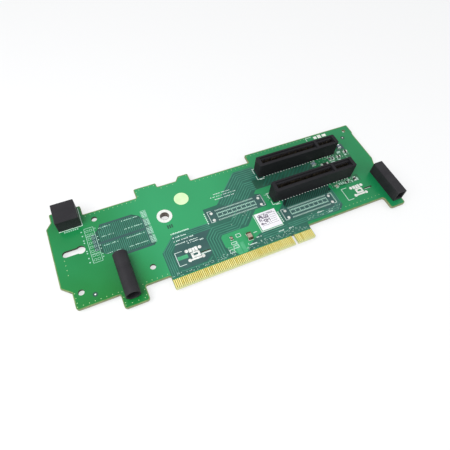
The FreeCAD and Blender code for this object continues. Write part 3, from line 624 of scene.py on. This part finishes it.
def path_dots_tree():
    """Small round dots at an even spacing along the starting curves."""
    maker = GrowTree("path_dots", Spacing=0.004, Radius=0.001, Height=0.001, Material=None)
    sockets = {"Curve": maker.inputs["Geometry"], "Length": maker.inputs["Spacing"]}
    spaced = maker.node("GeometryNodeResampleCurve", {"mode": "LENGTH"}, sockets)
    return maker.place_at(spaced, maker.dot(8))


def bars_tree():
    """A small flat bar at every point of the starting mesh."""
    maker = GrowTree("bars", Size=(0.001, 0.001, 0.001), Material=None)
    bar = maker.node("GeometryNodeMeshCube", {}, {"Size": maker.inputs["Size"]})
    return maker.place_at(maker.inputs["Geometry"], bar)


def solder_tree():
    """A solder fillet, a short cone with a rounded foot, at every point."""
    maker = GrowTree("solder", Foot=0.001, Neck=0.001, Height=0.001, Turn=0.0, Material=None)
    sockets = {"Vertices": 12, "Side Segments": 2, "Radius Top": maker.inputs["Neck"],
               "Radius Bottom": maker.inputs["Foot"], "Depth": maker.inputs["Height"]}
    cone = maker.node("GeometryNodeMeshCone", {}, sockets)
    turn = maker.node("ShaderNodeCombineXYZ", {}, {"X": maker.inputs["Turn"]})
    return maker.place_at(maker.inputs["Geometry"], cone, Rotation=turn)


def point_cloud(name, points):
    """A mesh of loose points, given in millimetres, for a tree to start from."""
    mesh = bpy.data.meshes.new(name)
    mesh.from_pydata([mm(*point) for point in points], [], [])
    return mesh


def poly_curves(name, lines):
    """Curves of straight runs, each a list of points in millimetres."""
    curve = bpy.data.curves.new(name, "CURVE")
    curve.dimensions = "3D"
    for line in lines:
        spline = curve.splines.new("POLY")
        spline.points.add(len(line) - 1)
        for point, (x, y, z) in zip(spline.points, line):
            point.co = (*mm(x, y, z), 1.0)
    return curve


TREES = {
    "dots": dots_tree(),
    "path_dots": path_dots_tree(),
    "bars": bars_tree(),
    "solder": solder_tree(),
}


# ---------- copper under the mask

# Plan outlines of the areas where copper shows through the mask, in millimetres.
MAIN_ROUTING = [
    (-12.6, 60.0), (-19.6, 53.0), (-31.8, 41.0), (-41.0, 40.8), (-41.0, 31.2), (-63.0, 31.2),
    (-71.9, 22.3), (-71.9, 6.1), (-33.2, 6.1), (-35.6, 9.0), (-38.6, 13.0), (-38.6, 19.4),
    (-37.2, 20.8), (-20.8, 20.8), (-11.9, 29.7), (-4.1, 29.7), (-4.1, 38.9), (-7.8, 40.2),
    (-5.4, 42.5), (36.5, 42.5), (36.5, 51.0), (0.4, 51.0), (0.4, 60.0),
]
LOWER_ROUTING = [
    (-28.0, 6.1), (11.9, 6.1), (12.6, 10.4), (36.0, 10.4), (39.2, 13.4), (39.2, 25.6), (37.2, 27.6),
    (37.2, 30.6), (6.0, 30.6), (5.2, 27.6), (-0.8, 22.4), (-1.0, 14.2), (-17.0, 14.0),
    (-21.5, 11.8), (-26.2, 8.6),
]
TEST_FIELD = [
    (-98.2, 53.0), (-99.6, 50.6), (-101.9, 48.6), (-101.9, 36.0), (-99.6, 33.4), (-97.6, 33.0),
    (-89.8, 31.0), (-89.8, 29.2), (-73.9, 29.2), (-72.4, 30.6), (-73.0, 31.6), (-73.0, 46.6),
    (-75.2, 48.4), (-76.4, 50.6), (-80.0, 53.0),
]
CLIP_PLANE = [
    (-59.2, 27.2), (-63.4, 24.8), (-66.6, 19.4), (-66.6, 12.4), (-63.6, 9.4), (-51.6, 9.4),
    (-46.4, 13.0), (-46.4, 23.0), (-42.4, 27.2),
]
# The slit beside the left unfitted clip goes through the board and the copper round it.
CLIP_SLIT = rect(-52.1, 14.6, -46.7, 15.8)
BROAD_PLANES = [rect(-104.4, 36.8, -101.9, 47.6), rect(-40.6, 30.2, -4.4, 38.8), rect(1.2, 15.8, 37.4, 24.0)]
TEST_MARGINS = [
    rect(-75.9, 31.2, -75.1, 49.2), rect(-101.6, 40.2, -75.9, 41.8), rect(-98.6, 52.0, -80.4, 52.9),
    rect(-88.8, 29.3, -74.2, 30.5),
]
CORNER_PLANE = [(27.6, 10.8), (35.8, 10.8), (38.6, 13.6), (38.6, 15.6), (27.6, 15.6)]
REAR_WEDGE = [(59.4, 51.8), (66.0, 51.8), (66.0, 56.6), (63.4, 56.6)]
SLOT_GROUND = rect(-5.2, 42.7, 38.0, 49.8)
BUSHING_MARKS = [rect(x - 0.4, 36.0, x + 0.4, 38.4) for x in (-63.4, -62.2, -61.0)]
FRONT_SLOT_SHADE = [(5.2, 24.4), (37.2, 24.4), (38.4, 25.8), (38.4, 30.4), (8.4, 30.4), (5.2, 27.2)]
SOLDERED_FIELDS = [rect(38.4, 43.6, 66.2, 51.6), rect(40.0, 25.4, 61.0, 30.4)]
CLIP_PATCH = rect(-65.4, 14.9, -59.6, 17.1)
EDGE_PATCHES = [rect(-33.4, 6.2, -30.8, 14.6), rect(-30.2, 6.4, -28.0, 13.0)]


def add_copper_areas():
    """Broad areas of copper: routing fields, the test field and the darker planes."""
    level, raised = TOP + LAYER, TOP + 2 * LAYER
    routing = bmesh.new()
    add_slab(routing, MAIN_ROUTING, TOP, level, holes=[CLIP_SLIT])
    add_slab(routing, LOWER_ROUTING, TOP, level)
    make_piece("routing_fields", routing, "teal_copper")
    flat_piece("test_field", [TEST_FIELD], TOP, level, "field_copper")

    planes = bmesh.new()
    add_slab(planes, CLIP_PLANE, TOP, raised, holes=[CLIP_SLIT])
    for plane in (*BROAD_PLANES, CORNER_PLANE):
        add_slab(planes, plane, TOP, raised)
    add_slab(planes, REAR_WEDGE, TOP, level)
    for margin in TEST_MARGINS:
        add_slab(planes, margin, TOP, raised)
    make_piece("dark_planes", planes, "deep_copper")

    ground = bmesh.new()
    add_slab(ground, SLOT_GROUND, TOP, raised)
    for mark in BUSHING_MARKS:
        add_slab(ground, mark, TOP, level)
    make_piece("slot_ground_plane", ground, "ground_copper")

    flat_piece("shaded_plane", [FRONT_SLOT_SHADE], TOP, raised, "shaded_copper")
    flat_piece("soldered_fields", SOLDERED_FIELDS, TOP, level, "dark_mask")

    patches = bmesh.new()
    add_slab(patches, CLIP_PATCH, TOP, raised + LAYER)
    for patch in EDGE_PATCHES:
        add_slab(patches, patch, TOP, level)
    make_piece("mask_patches", patches, "bright_mask")


# Bundles of parallel traces: the middle line, how many traces, and their pitch.
TRACE_BUNDLES = [
    ([(0.2, 55.6), (-11.8, 55.6), (-28.2, 39.2)], 6, 1.5),
    ([(-4.6, 46.4), (-9.6, 46.4), (-17.2, 38.8)], 5, 1.5),
    ([(-21.6, 30.2), (-27.4, 24.4), (-39.4, 24.4), (-43.0, 20.8), (-43.0, 6.6)], 5, 1.5),
    ([(-15.6, 30.0), (-23.0, 22.6)], 2, 1.5),
    ([(-41.4, 29.4), (-61.8, 29.4), (-69.3, 21.9), (-69.3, 6.6)], 4, 1.15),
    ([(-66.2, 8.8), (-64.0, 8.4), (-50.4, 8.4), (-47.4, 10.6)], 1, 1.3),
    ([(1.4, 12.4), (34.0, 12.4), (37.6, 16.0), (37.6, 25.4)], 3, 1.2),
    ([(-16.0, 11.4), (0.0, 11.4)], 3, 1.4),
]


def add_traces():
    """Fine copper traces under the mask, in mitred parallel bundles."""
    bm = bmesh.new()
    low, high = TOP + LAYER, TOP + LAYER + TRACE
    add_bundles(bm, TRACE_BUNDLES, 0.52, low, high)
    make_piece("copper_traces", bm, "trace_copper")

    fine = bmesh.new()
    for number in range(24):
        x = -99.8 + number * 1.04
        bottom = 33.6 if x < -90 else 30.8
        upper = 51.8 if -98.5 < x < -79 else 49.0
        add_ribbon(fine, [(x, 41.8), (x, upper)], 0.4, low, high)
        add_ribbon(fine, [(x, bottom), (x, 40.2)], 0.4, low, high)
    make_piece("fine_traces", fine, "trace_copper")

    faint = bmesh.new()
    for number in range(18):
        x = 5.6 + number * 1.7
        add_ribbon(faint, [(x, 24.6), (x + 4.2, 28.8), (x + 4.2, 30.0)], 0.4, low, high)
    for number in range(12):
        x = 0.4 + number * 2.8
        add_ribbon(faint, [(x, 43.4), (x + 5.4, 48.8)], 0.7, low, high)
    make_piece("faint_traces", faint, "teal_copper")


# ---------- print and lands


def add_dashes(bm, x0, x1, y, height, maker, low, high):
    """A line of small print reduced to short upright strokes and dashes."""
    x, foot = x0, y - height / 2
    while x < x1 - 0.3:
        length = min(maker.uniform(0.3, 0.8), x1 - x)
        stroke = maker.uniform(0.55, 1.0) * height
        add_slab(bm, rect(x, foot, x + length, foot + stroke), low, high)
        x += length + maker.choice((0.25, 0.3, 0.3, 0.9))


# Lines of small print: from x, to x, at y, and their height.
TEST_PRINT = [
    (-99.4, -92.2, 50.8, 0.7), (-86.6, -76.2, 50.7, 0.7), (-99.2, -92.0, 44.8, 0.6),
    (-86.4, -76.0, 44.9, 0.7), (-99.2, -91.4, 39.0, 0.7), (-86.8, -76.0, 39.0, 0.7),
    (-99.2, -91.0, 33.6, 0.5), (-86.8, -76.0, 33.2, 0.7),
]
SMALL_PRINT = [
    (-63.8, -53.0, 32.0, 0.95), (-63.6, -55.8, 29.3, 0.85), (-63.8, -52.0, 26.9, 0.75),
    (-63.6, -50.4, 24.8, 0.7), (-57.0, -50.6, 23.4, 0.6), (-50.0, -47.8, 23.2, 1.1),
    (-31.0, -20.2, 48.7, 0.55), (-33.6, -17.0, 46.9, 0.55), (-31.4, -19.0, 44.9, 0.55),
    (-6.2, -2.4, 11.0, 0.8), (0.4, 3.6, 10.7, 0.8), (1.0, 3.8, 48.9, 0.7), (1.2, 4.0, 28.3, 0.8),
    (-20.2, -16.8, 15.8, 0.6), (-19.8, -16.6, 12.3, 0.7), (21.4, 25.8, 13.9, 0.8),
    (28.4, 31.4, 11.9, 0.6),
]


def add_test_boxes(bm, high):
    """The columns of small outlines to the left and right of the test field."""
    add_frame(bm, -106.9, 30.5, -101.9, 53.0, FINE_LINE, TOP, high)
    for y in (35.9, 47.4):
        add_ribbon(bm, [(-106.9, y), (-101.9, y)], FINE_LINE, TOP, high)
    for row in range(8):
        y = 31.6 + row * 2.7
        for x in (-106.2, -104.2):
            add_frame(bm, x, y, x + 1.3, y + 1.3, 0.17, TOP, high)
    for y in (51.6, 48.8, 45.7, 44.2, 38.8, 37.4, 34.2, 31.6):
        add_slab(bm, rect(-108.9, y - 0.35, -108.2, y + 0.35), TOP, high)
    for y in (51.6, 45.8, 43.6, 40.0, 37.9, 34.4, 32.6):
        add_slab(bm, rect(-101.3, y - 0.3, -100.8, y + 0.3), TOP, high)
    for y0, y1 in ((48.3, 53.1), (42.7, 47.4), (36.7, 41.6), (31.0, 35.7)):
        add_frame(bm, -74.8, y0, -72.0, y1, FINE_LINE, TOP, high)
        for step in range(4):
            y = y0 + 0.5 + step
            for x in (-74.5, -73.3):
                add_slab(bm, rect(x, y, x + 1.0, y + 0.65), TOP, high)


def add_block_ticks(bm, high):
    """The row of ticks printed in front of the corner block."""
    low = node_box("corner_block")[0]
    for number in range(7):
        x = low.x + 2.6 + number * 1.15
        add_slab(bm, rect(x, low.y - 1.9, x + 0.7, low.y - 1.1), TOP, high)


def add_clip_brackets(bm, high):
    """Brackets beside the two unfitted clips and above the upper right lands."""
    for bracket in ([(-61.8, 19.8), (-65.9, 19.8), (-65.9, 11.5), (-61.8, 11.5)],
                    [(48.2, 23.2), (44.4, 23.2), (44.4, 14.4), (48.2, 14.4)],
                    [(49.6, 68.9), (45.3, 68.9), (45.3, 66.2)]):
        add_ribbon(bm, bracket, BRACKET_LINE, TOP, high)


def add_probe_outlines(bm, high):
    """Outlines of the two unfitted probe sockets."""
    for x0, x1, y0, y1 in ((-39.4, -4.7, 30.5, 38.2), (1.6, 36.7, 16.1, 23.6)):
        add_ribbon(bm, [(x0 + 2.6, y1), (x0, y1), (x0, y0), (x0 + 2.6, y0)], FINE_LINE, TOP, high)
        add_ribbon(bm, [(x1 - 2.2, y0), (x1, y0), (x1, y1), (x1 - 2.2, y1)], FINE_LINE, TOP, high)
    for x, y in ((-41.4, 30.4), (-0.4, 15.8)):
        for step in range(6):
            add_slab(bm, rect(x - 0.3, y + step * 1.35, x + 0.3, y + step * 1.35 + 0.8), TOP, high)


def add_probe_ladders(bm, high):
    """The ladder of openings between the pad rows of each unfitted probe socket."""
    for x0, x1, y0, y1 in ((-34.4, -9.6, 32.9, 35.5), (6.6, 32.2, 18.7, 21.5)):
        for y in (y0, y1):
            add_ribbon(bm, [(x0, y), (x1, y)], BRACKET_LINE, TOP, high)
            for number in range(25):
                x = x0 + 0.3 + number * (x1 - x0 - 0.6) / 24
                add_slab(bm, rect(x - 0.2, y - 0.5, x + 0.2, y + 0.5), TOP, high - HAIR)
        for number in range(9):
            x = x0 + 0.2 + number * (x1 - x0 - 0.4) / 8
            add_ribbon(bm, [(x, y0), (x, y1)], MARK_LINE, TOP, high)


def add_slot_marks(bm, high):
    """Printed corners round the slot housings and the corner block."""
    for name in ("rear", "front"):
        low, top = node_box(f"{name}_slot_housing")
        left, near, far = low.x - 0.7, low.y - 0.7, top.y + 0.45
        add_ribbon(bm, [(left + 4.2, near), (left, near), (left, near + 2.9)], MARK_LINE, TOP, high)
        add_ribbon(bm, [(left, near + 4.6), (left, far), (left + 2.4, far)], MARK_LINE, TOP, high)
    low, top = node_box("corner_block")
    block = [(low.x, low.y - 0.4), (top.x + 0.4, low.y - 0.4), (top.x + 0.4, top.y - 1.0)]
    add_ribbon(bm, block, MARK_LINE, TOP, high)


def add_print():
    """White screen print: part outlines, brackets, marks and dashes."""
    bm = bmesh.new()
    high = TOP + INK
    maker = random.Random(7)
    add_clip_brackets(bm, high)
    add_probe_outlines(bm, high)
    add_slot_marks(bm, high)
    low, top = node_box("blank_label")
    corner = [(low.x - 0.7, top.y), (low.x - 0.7, low.y - 0.6), (top.x, low.y - 0.6)]
    add_ribbon(bm, corner, MARK_LINE, TOP, high)
    for frame_box in ((-30.2, 16.4, -27.6, 18.4), (-34.6, 12.9, -31.6, 14.4),
                      (-34.4, 10.4, -31.4, 12.0), (-37.4, 8.4, -34.8, 10.4)):
        add_frame(bm, *frame_box, 0.26, TOP, high)
    add_ribbon(bm, [(-25.8, 9.6), (-25.8, 10.6)], BRACKET_LINE, TOP, high)
    add_ribbon(bm, [(-25.4, 9.3), (-21.0, 9.3)], 0.4, TOP, high)
    for row in SMALL_PRINT:
        add_dashes(bm, *row, maker, TOP, high)
    add_ribbon(bm, [(-52.6, 14.3), (-46.8, 14.3)], 0.45, TOP + 2 * LAYER, high)
    make_piece("screen_print", bm, "white_ink")

    thin = bmesh.new()
    add_test_boxes(thin, high)
    add_block_ticks(thin, high)
    add_probe_ladders(thin, high)
    for row in TEST_PRINT:
        add_dashes(thin, *row, maker, TOP, high)
    make_piece("thin_print", thin, "thin_ink")


def add_clip_lands(bm, x, y, high):
    """Tinned lands of one unfitted clip: a plate, a square with a window and four rounds."""
    for dx, dy in ((-4.1, 3.1), (3.6, 3.1), (-4.1, -2.8), (3.6, -2.8)):
        add_slab(bm, ring_points(x + dx, y + dy, 1.0), TOP, high)
    add_slab(bm, rect(x - 2.9, y + 1.7, x - 1.0, y + 4.1), TOP, high)
    add_slab(bm, rect(x - 0.8, y + 1.5, x + 0.5, y + 4.0), TOP, high)
    add_slab(bm, rect(x + 0.7, y + 1.5, x + 2.2, y + 4.2), TOP, high)
    add_slab(bm, rect(x - 3.2, y - 2.3, x + 2.8, y - 3.4), TOP, high)
    window = rect(x - 1.1, y - 0.8, x + 1.4, y + 0.5)
    add_slab(bm, rect(x - 2.4, y - 2.1, x + 2.6, y + 1.3), TOP, high, holes=[window])


def add_lands():
    """Tinned lands left open in the mask."""
    bm = bmesh.new()
    high = TOP + TIN
    add_clip_lands(bm, -55.4, 15.7, high)
    add_clip_lands(bm, 54.8, 18.8, high)
    for land in ((51.0, 66.4, 53.2, 68.6), (54.0, 66.2, 56.6, 68.9), (57.6, 66.4, 60.6, 68.5)):
        add_slab(bm, rect(*land), TOP, high)
    for x0, x1, y0, y1 in ((-37.4, -6.9, 31.7, 36.5), (3.9, 34.3, 17.3, 22.1)):
        for x in (x0, x1):
            for y in (y0, y1):
                add_slab(bm, ring_points(x, y, 0.9), TOP, high)
    make_piece("tinned_lands", bm, "tin")


def add_probe_pads():
    """Rows of fine pads along both sides of the two unfitted probe sockets."""
    points = []
    for left, right, levels in ((-34.4, -9.6, (37.6, 30.9)), (6.6, 32.2, (23.2, 16.5))):
        count = int((right - left) / 0.8)
        for y in levels:
            points += [(left + number * 0.8, y, TOP + TIN / 2) for number in range(count + 1)]
    grow("probe_pads", "bars", point_cloud("probe_pads", points), "trace_tin", TINNED,
         Size=mm(0.42, 0.85, TIN))


# Runs of stitching vias near the board's edges.
VIA_RUNS = [
    [(-120.0, 9.9), (-99.6, 9.9)], [(-84.6, 9.9), (-73.4, 9.9)], [(-98.0, 1.9), (-88.0, 1.9)],
    [(-97.8, 3.2), (-97.8, 9.4)], [(-86.9, 3.2), (-86.9, 9.4)], [(-119.7, 12.0), (-119.7, 17.4)],
    [(-120.5, 28.6), (-120.5, 37.4)], [(-104.0, 61.4), (-75.0, 61.4)],
    [(-72.6, 64.0), (-72.6, 68.2), (-61.8, 68.2)], [(-58.0, 64.8), (-50.6, 64.8)],
    [(-45.2, 68.5), (-40.8, 68.5)], [(-37.0, 62.2), (-2.0, 62.2)], [(1.2, 68.8), (44.0, 68.8)],
    [(40.0, 11.2), (64.6, 11.2)],
]
# Scattered vias: x0, y0, x1, y1 and how many.
VIA_FIELDS = [
    (-71.4, 6.5, -48.0, 8.6, 30), (-46.0, 6.5, -34.0, 9.4, 26), (-28.0, 6.5, 11.0, 9.8, 84),
    (-37.8, 8.4, -33.6, 12.2, 16), (38.6, 44.0, 66.0, 51.2, 70),
    (40.4, 25.6, 60.0, 30.0, 46), (13.4, 10.8, 38.0, 15.0, 30), (-33.0, 22.0, -12.0, 30.0, 10),
    (-3.0, 30.8, -0.8, 38.6, 8),
]


def grow_edge_vias(name, level):
    """Stitching vias near the board's edges, at one level."""
    curves = poly_curves(name, [[(x, y, level) for x, y in run] for run in VIA_RUNS])
    grow(name, "path_dots", curves, "via_mask", TINNED, Spacing=2.6 * MM, Radius=0.21 * MM,
         Height=0.02 * MM)


def add_vias():
    """Stitching vias along the board's edges and a scatter of them through the fields."""
    level = TOP + LAYER
    grow_edge_vias("edge_vias", level)
    maker = random.Random(21)
    spots = []
    for x0, y0, x1, y1, count in VIA_FIELDS:
        for _ in range(count):
            spots.append((maker.uniform(x0, x1), maker.uniform(y0, y1), level))
    grow("field_vias", "dots", point_cloud("field_vias", spots), "trace_tin", TINNED,
         Radius=0.22 * MM, Height=0.04 * MM, Sides=8)


def add_loose_pads():
    """Small tinned pads in the soldered areas by the right ends of the slots."""
    boxes = [
        (43.0, 44.2, 48.6, 45.4), (37.8, 46.6, 39.4, 48.4), (50.2, 46.2, 51.0, 49.2),
        (52.0, 46.2, 52.8, 49.2), (53.8, 46.0, 54.6, 48.6), (50.6, 44.2, 53.6, 45.0),
        (56.4, 44.4, 58.2, 45.2), (58.8, 49.8, 61.4, 51.2), (62.6, 46.6, 64.2, 47.6),
        (45.4, 26.6, 46.2, 28.2), (46.8, 26.6, 47.6, 28.2), (48.2, 26.6, 49.0, 28.2),
        (52.6, 27.4, 53.8, 28.8), (54.4, 25.6, 55.2, 27.2), (58.6, 25.8, 59.6, 28.2),
    ]
    flat_piece("loose_pads", [rect(*box) for box in boxes], TOP, TOP + TIN, "trace_tin")


LAND_LAP = 0.2     # how far a land shows round the end that stands on it


def add_chip_lands():
    """Tinned lands under the two ends of every small part, brightest at the two capacitors."""
    bright, dull = bmesh.new(), bmesh.new()
    for name, node in frame["nodes"].items():
        if not name.endswith("_terminals"):
            continue
        points = [vertex.co / MM for vertex in node.data.vertices]
        low, high = node_box(name)
        axis = 0 if high.x - low.x > high.y - low.y else 1
        middle = (low[axis] + high[axis]) / 2
        for side in (-1, 1):
            end = [point for point in points if (point[axis] - middle) * side > 0]
            x0, x1 = min(point.x for point in end) - LAND_LAP, max(point.x for point in end) + LAND_LAP
            y0, y1 = min(point.y for point in end) - LAND_LAP, max(point.y for point in end) + LAND_LAP
            add_slab(bright if name in SHADED_ENDS else dull, rect(x0, y0, x1, y1), TOP, TOP + TIN)
    make_piece("capacitor_lands", bright, "solder")
    make_piece("chip_lands", dull, "trace_tin")


# The underside's routing field and the trace bundles from the slot tails to the edge.
UNDER_ROUTING = [
    (-71.9, 6.1), (11.9, 6.1), (12.6, 10.4), (44.0, 10.4), (57.6, 24.0), (57.6, 60.0), (-2.0, 60.0),
    (-20.0, 48.0), (-38.0, 30.0), (-58.0, 30.0), (-71.9, 16.1),
]
UNDER_BUNDLES = [
    ([(2.0, 51.0), (-12.0, 51.0), (-42.0, 21.0), (-42.0, 6.6)], 7, 1.3),
    ([(2.0, 31.0), (-6.0, 31.0), (-22.0, 15.0), (-22.0, 6.6)], 7, 1.3),
    ([(30.0, 42.6), (6.0, 42.6), (-8.0, 28.6), (-8.0, 6.6)], 5, 1.4),
    ([(44.0, 28.0), (30.0, 14.0), (16.0, 14.0)], 4, 1.4),
    ([(-47.6, 27.4), (-56.0, 27.4), (-66.0, 17.4), (-66.0, 6.6)], 6, 1.3),
]


def add_underside():
    """Copper, vias and a little print under the card."""
    level = UNDER - LAYER
    field = bmesh.new()
    add_slab(field, UNDER_ROUTING, level, UNDER, holes=[CLIP_SLIT])
    make_piece("under_routing", field, "teal_copper")
    traces = bmesh.new()
    add_bundles(traces, UNDER_BUNDLES, 0.45, level - TRACE, level)
    make_piece("under_traces", traces, "trace_copper")
    grow_edge_vias("under_vias", level)
    print_piece = bmesh.new()
    maker = random.Random(12)
    low = UNDER - INK
    for name in ("rear", "front"):
        near, far = node_box(f"{name}_slot_housing")
        add_frame(print_piece, near.x - 0.4, near.y - 0.4, far.x + 0.4, far.y + 0.4, FINE_LINE, low, UNDER)
    for x, y in ((-104.0, 24.0), (-104.0, 21.5), (-60.0, 40.0), (-60.0, 37.5), (62.0, 46.0)):
        add_dashes(print_piece, x, x + 12.0, y, 0.8, maker, low, UNDER)
    make_piece("under_print", print_piece, "white_ink")


SLOT_KEY = 41.7            # x of the card key's middle in both slots
KEY_HALF = 0.85            # half of the gap that the lids leave at the key
LID_END = 2.2              # from an end of the housing to its lids
LID_SIDES = (1.36, 2.65)   # a lid's two long sides, from the slot's middle line
LID_DROP = 0.68            # from the housing's top down to the lids
LID_THICKNESS = 0.3


def add_comb_lids():
    """The closed outer part of the two combs in each card slot, level with their teeth."""
    bm = bmesh.new()
    for name in ("rear", "front"):
        low, high = node_box(f"{name}_slot_housing")
        middle, level = (low.y + high.y) / 2, high.z - LID_DROP
        for x0, x1 in ((low.x + LID_END, SLOT_KEY - KEY_HALF), (SLOT_KEY + KEY_HALF, high.x - LID_END)):
            for side in (-1, 1):
                near, far = sorted(middle + side * reach for reach in LID_SIDES)
                add_slab(bm, rect(x0, near, x1, far), level - LID_THICKNESS, level)
    make_piece("comb_lids", bm, "slot_plastic")


TAIL_DEPTH = 1.4       # every tail ends farther than this below the board
TAIL_HALF = 0.22       # half of a tail's width along the slot
OUTER_TAILS = 2.5      # tails farther than this from a slot's middle line show beside it
BEAD_SHIFT = 0.5       # how far a bead above the board lies outside its tail
BEAD_HEIGHT = 0.14
FILLET_HEIGHT = 0.56


def tail_ends(contacts):
    """The middle of each contact tail's lower end; tails stand at whole millimetres."""
    ends = {}
    for vertex in contacts.data.vertices:
        corner = vertex.co / MM
        if corner.z < UNDER - TAIL_DEPTH:
            ends.setdefault((round(corner.x - TAIL_HALF), round(corner.y, 1)), []).append(corner)
    return [sum(corners, Vector()) / len(corners) for corners in ends.values()]


def add_solder():
    """Fillets round the slot tails below the board, and beads by the housings above it."""
    above, below = [], []
    for name in ("rear_slot", "front_slot"):
        low, high = node_box(f"{name}_housing")
        middle = (low.y + high.y) / 2
        for side in ("near", "far"):
            for tail in tail_ends(frame["nodes"][f"{name}_{side}_contacts"]):
                below.append((tail.x, tail.y, UNDER - FILLET_HEIGHT / 2))
                reach = tail.y - middle
                if abs(reach) > OUTER_TAILS:
                    bead_y = tail.y + math.copysign(BEAD_SHIFT, reach)
                    above.append((tail.x, bead_y, TOP + BEAD_HEIGHT / 2))
    grow("solder_below", "solder", point_cloud("solder_below", below), "tin", TINNED,
         Foot=0.52 * MM, Neck=0.17 * MM, Height=FILLET_HEIGHT * MM, Turn=math.pi)
    grow("solder_above", "dots", point_cloud("solder_above", above), "solder", TINNED,
         Radius=0.32 * MM, Height=BEAD_HEIGHT * MM, Sides=12)


def add_label_print():
    """Faint generic blocks and dashes on the label."""
    low, high = node_box("blank_label")
    maker = random.Random(4)
    level = high.z + 0.008
    bm = bmesh.new()
    cell = 0.54
    for row in range(12):
        for column in range(12):
            if maker.random() < 0.5:
                x, y = low.x + 1.2 + column * cell, low.y + 3.5 + row * cell
                add_slab(bm, rect(x, y, x + cell * 0.96, y + cell * 0.96), high.z, level)
    for row in range(6):
        y = low.y + 2.6 + row * 1.35
        x = low.x + (8.4 if row > 0 else 1.6)
        while x < high.x - 1.4:
            length = maker.uniform(0.3, 0.8)
            add_slab(bm, rect(x, y, x + length, y + 0.3), high.z, level)
            x += length + 0.28
    for number in range(18):
        x = low.x + 1.6 + number * 0.55
        width = maker.choice((0.14, 0.24, 0.34))
        add_slab(bm, rect(x, high.y - 1.9, x + width, high.y - 0.9), high.z, level)
    make_piece("label_print", bm, "label_ink")


def board_outline():
    """The board's outer outline in plan: the border of its upper face that reaches furthest."""
    bm = bmesh.new()
    bm.from_mesh(frame["nodes"]["circuit_board"].data)
    bmesh.ops.remove_doubles(bm, verts=bm.verts, dist=1e-6)
    level = TOP * MM
    upper = [face for face in bm.faces if all(abs(vertex.co.z - level) < 1e-6 for vertex in face.verts)]
    inside = set(upper)
    border = {}
    for face in upper:
        for loop in face.loops:
            if not inside.issuperset(loop.edge.link_faces):
                border[loop.vert] = loop.link_loop_next.vert
    outlines = []
    while border:
        vertex = next(iter(border))
        ring = []
        while vertex in border:
            ring.append(tuple(vertex.co.xy / MM))
            vertex = border.pop(vertex)
        outlines.append(ring)
    bm.free()
    return max(outlines, key=max)


def add_rims():
    """Bare laminate along the board's cut outline, where the mask stops short of the edge."""
    ring = board_outline()
    inner = offset_line(ring, RIM_WIDTH, closed=True)
    rims = bmesh.new()
    for low, high in ((TOP, TOP + HAIR), (UNDER - HAIR, UNDER)):
        for number in range(len(ring)):
            after = (number + 1) % len(ring)
            add_slab(rims, [ring[number], ring[after], inner[after], inner[number]], low, high)
    make_piece("bare_rims", rims, "bare_rim")


TOOLING_HOLES = ((-110.4, 13.2, 1.35), (70.0, 60.7, 1.5))    # x, y and the ring's outer radius
PLUG_RADIUS = 0.645
RING_INNER = 0.42
RING_SIDES = 24


def add_hole_rings():
    """Tin plugs in the two tooling holes, and dark rings that lap over their edges: painted shade of the
    holes, reaching in over the plugs.
    """
    rings, plugs = bmesh.new(), bmesh.new()
    for x, y, reach in TOOLING_HOLES:
        add_slab(plugs, ring_points(x, y, PLUG_RADIUS, RING_SIDES), UNDER + 0.1, TOP)
        # Painted shade: a dark ring round each hole that reaches in over the plug.
        outer, inner = ring_points(x, y, reach, RING_SIDES), ring_points(x, y, RING_INNER, RING_SIDES)
        for number in range(RING_SIDES):
            after = (number + 1) % RING_SIDES
            quad = [inner[number], outer[number], outer[after], inner[after]]
            add_slab(rings, quad, TOP, TOP + 0.003)
    make_piece("hole_painted_shade_rings", rings, "ground_copper")
    make_piece("hole_plugs", plugs, "solder")


# ---------- the scene

make_finishes()
add_camera()
add_floor()
add_world()
add_softbox("key", (-300, -40, 360), (-20, 35, 0), (300, 300), 1.6)
add_softbox("fill", (260, -220, 300), (0, 35, 0), (400, 320), 0.5)
dress_cad_nodes()
add_copper_areas()
add_traces()
add_rims()
add_hole_rings()
add_print()
add_lands()
add_probe_pads()
add_loose_pads()
add_vias()
add_chip_lands()
add_underside()
add_solder()
add_comb_lids()
add_label_print()

bpy.context.scene.view_settings.view_transform = "Standard"
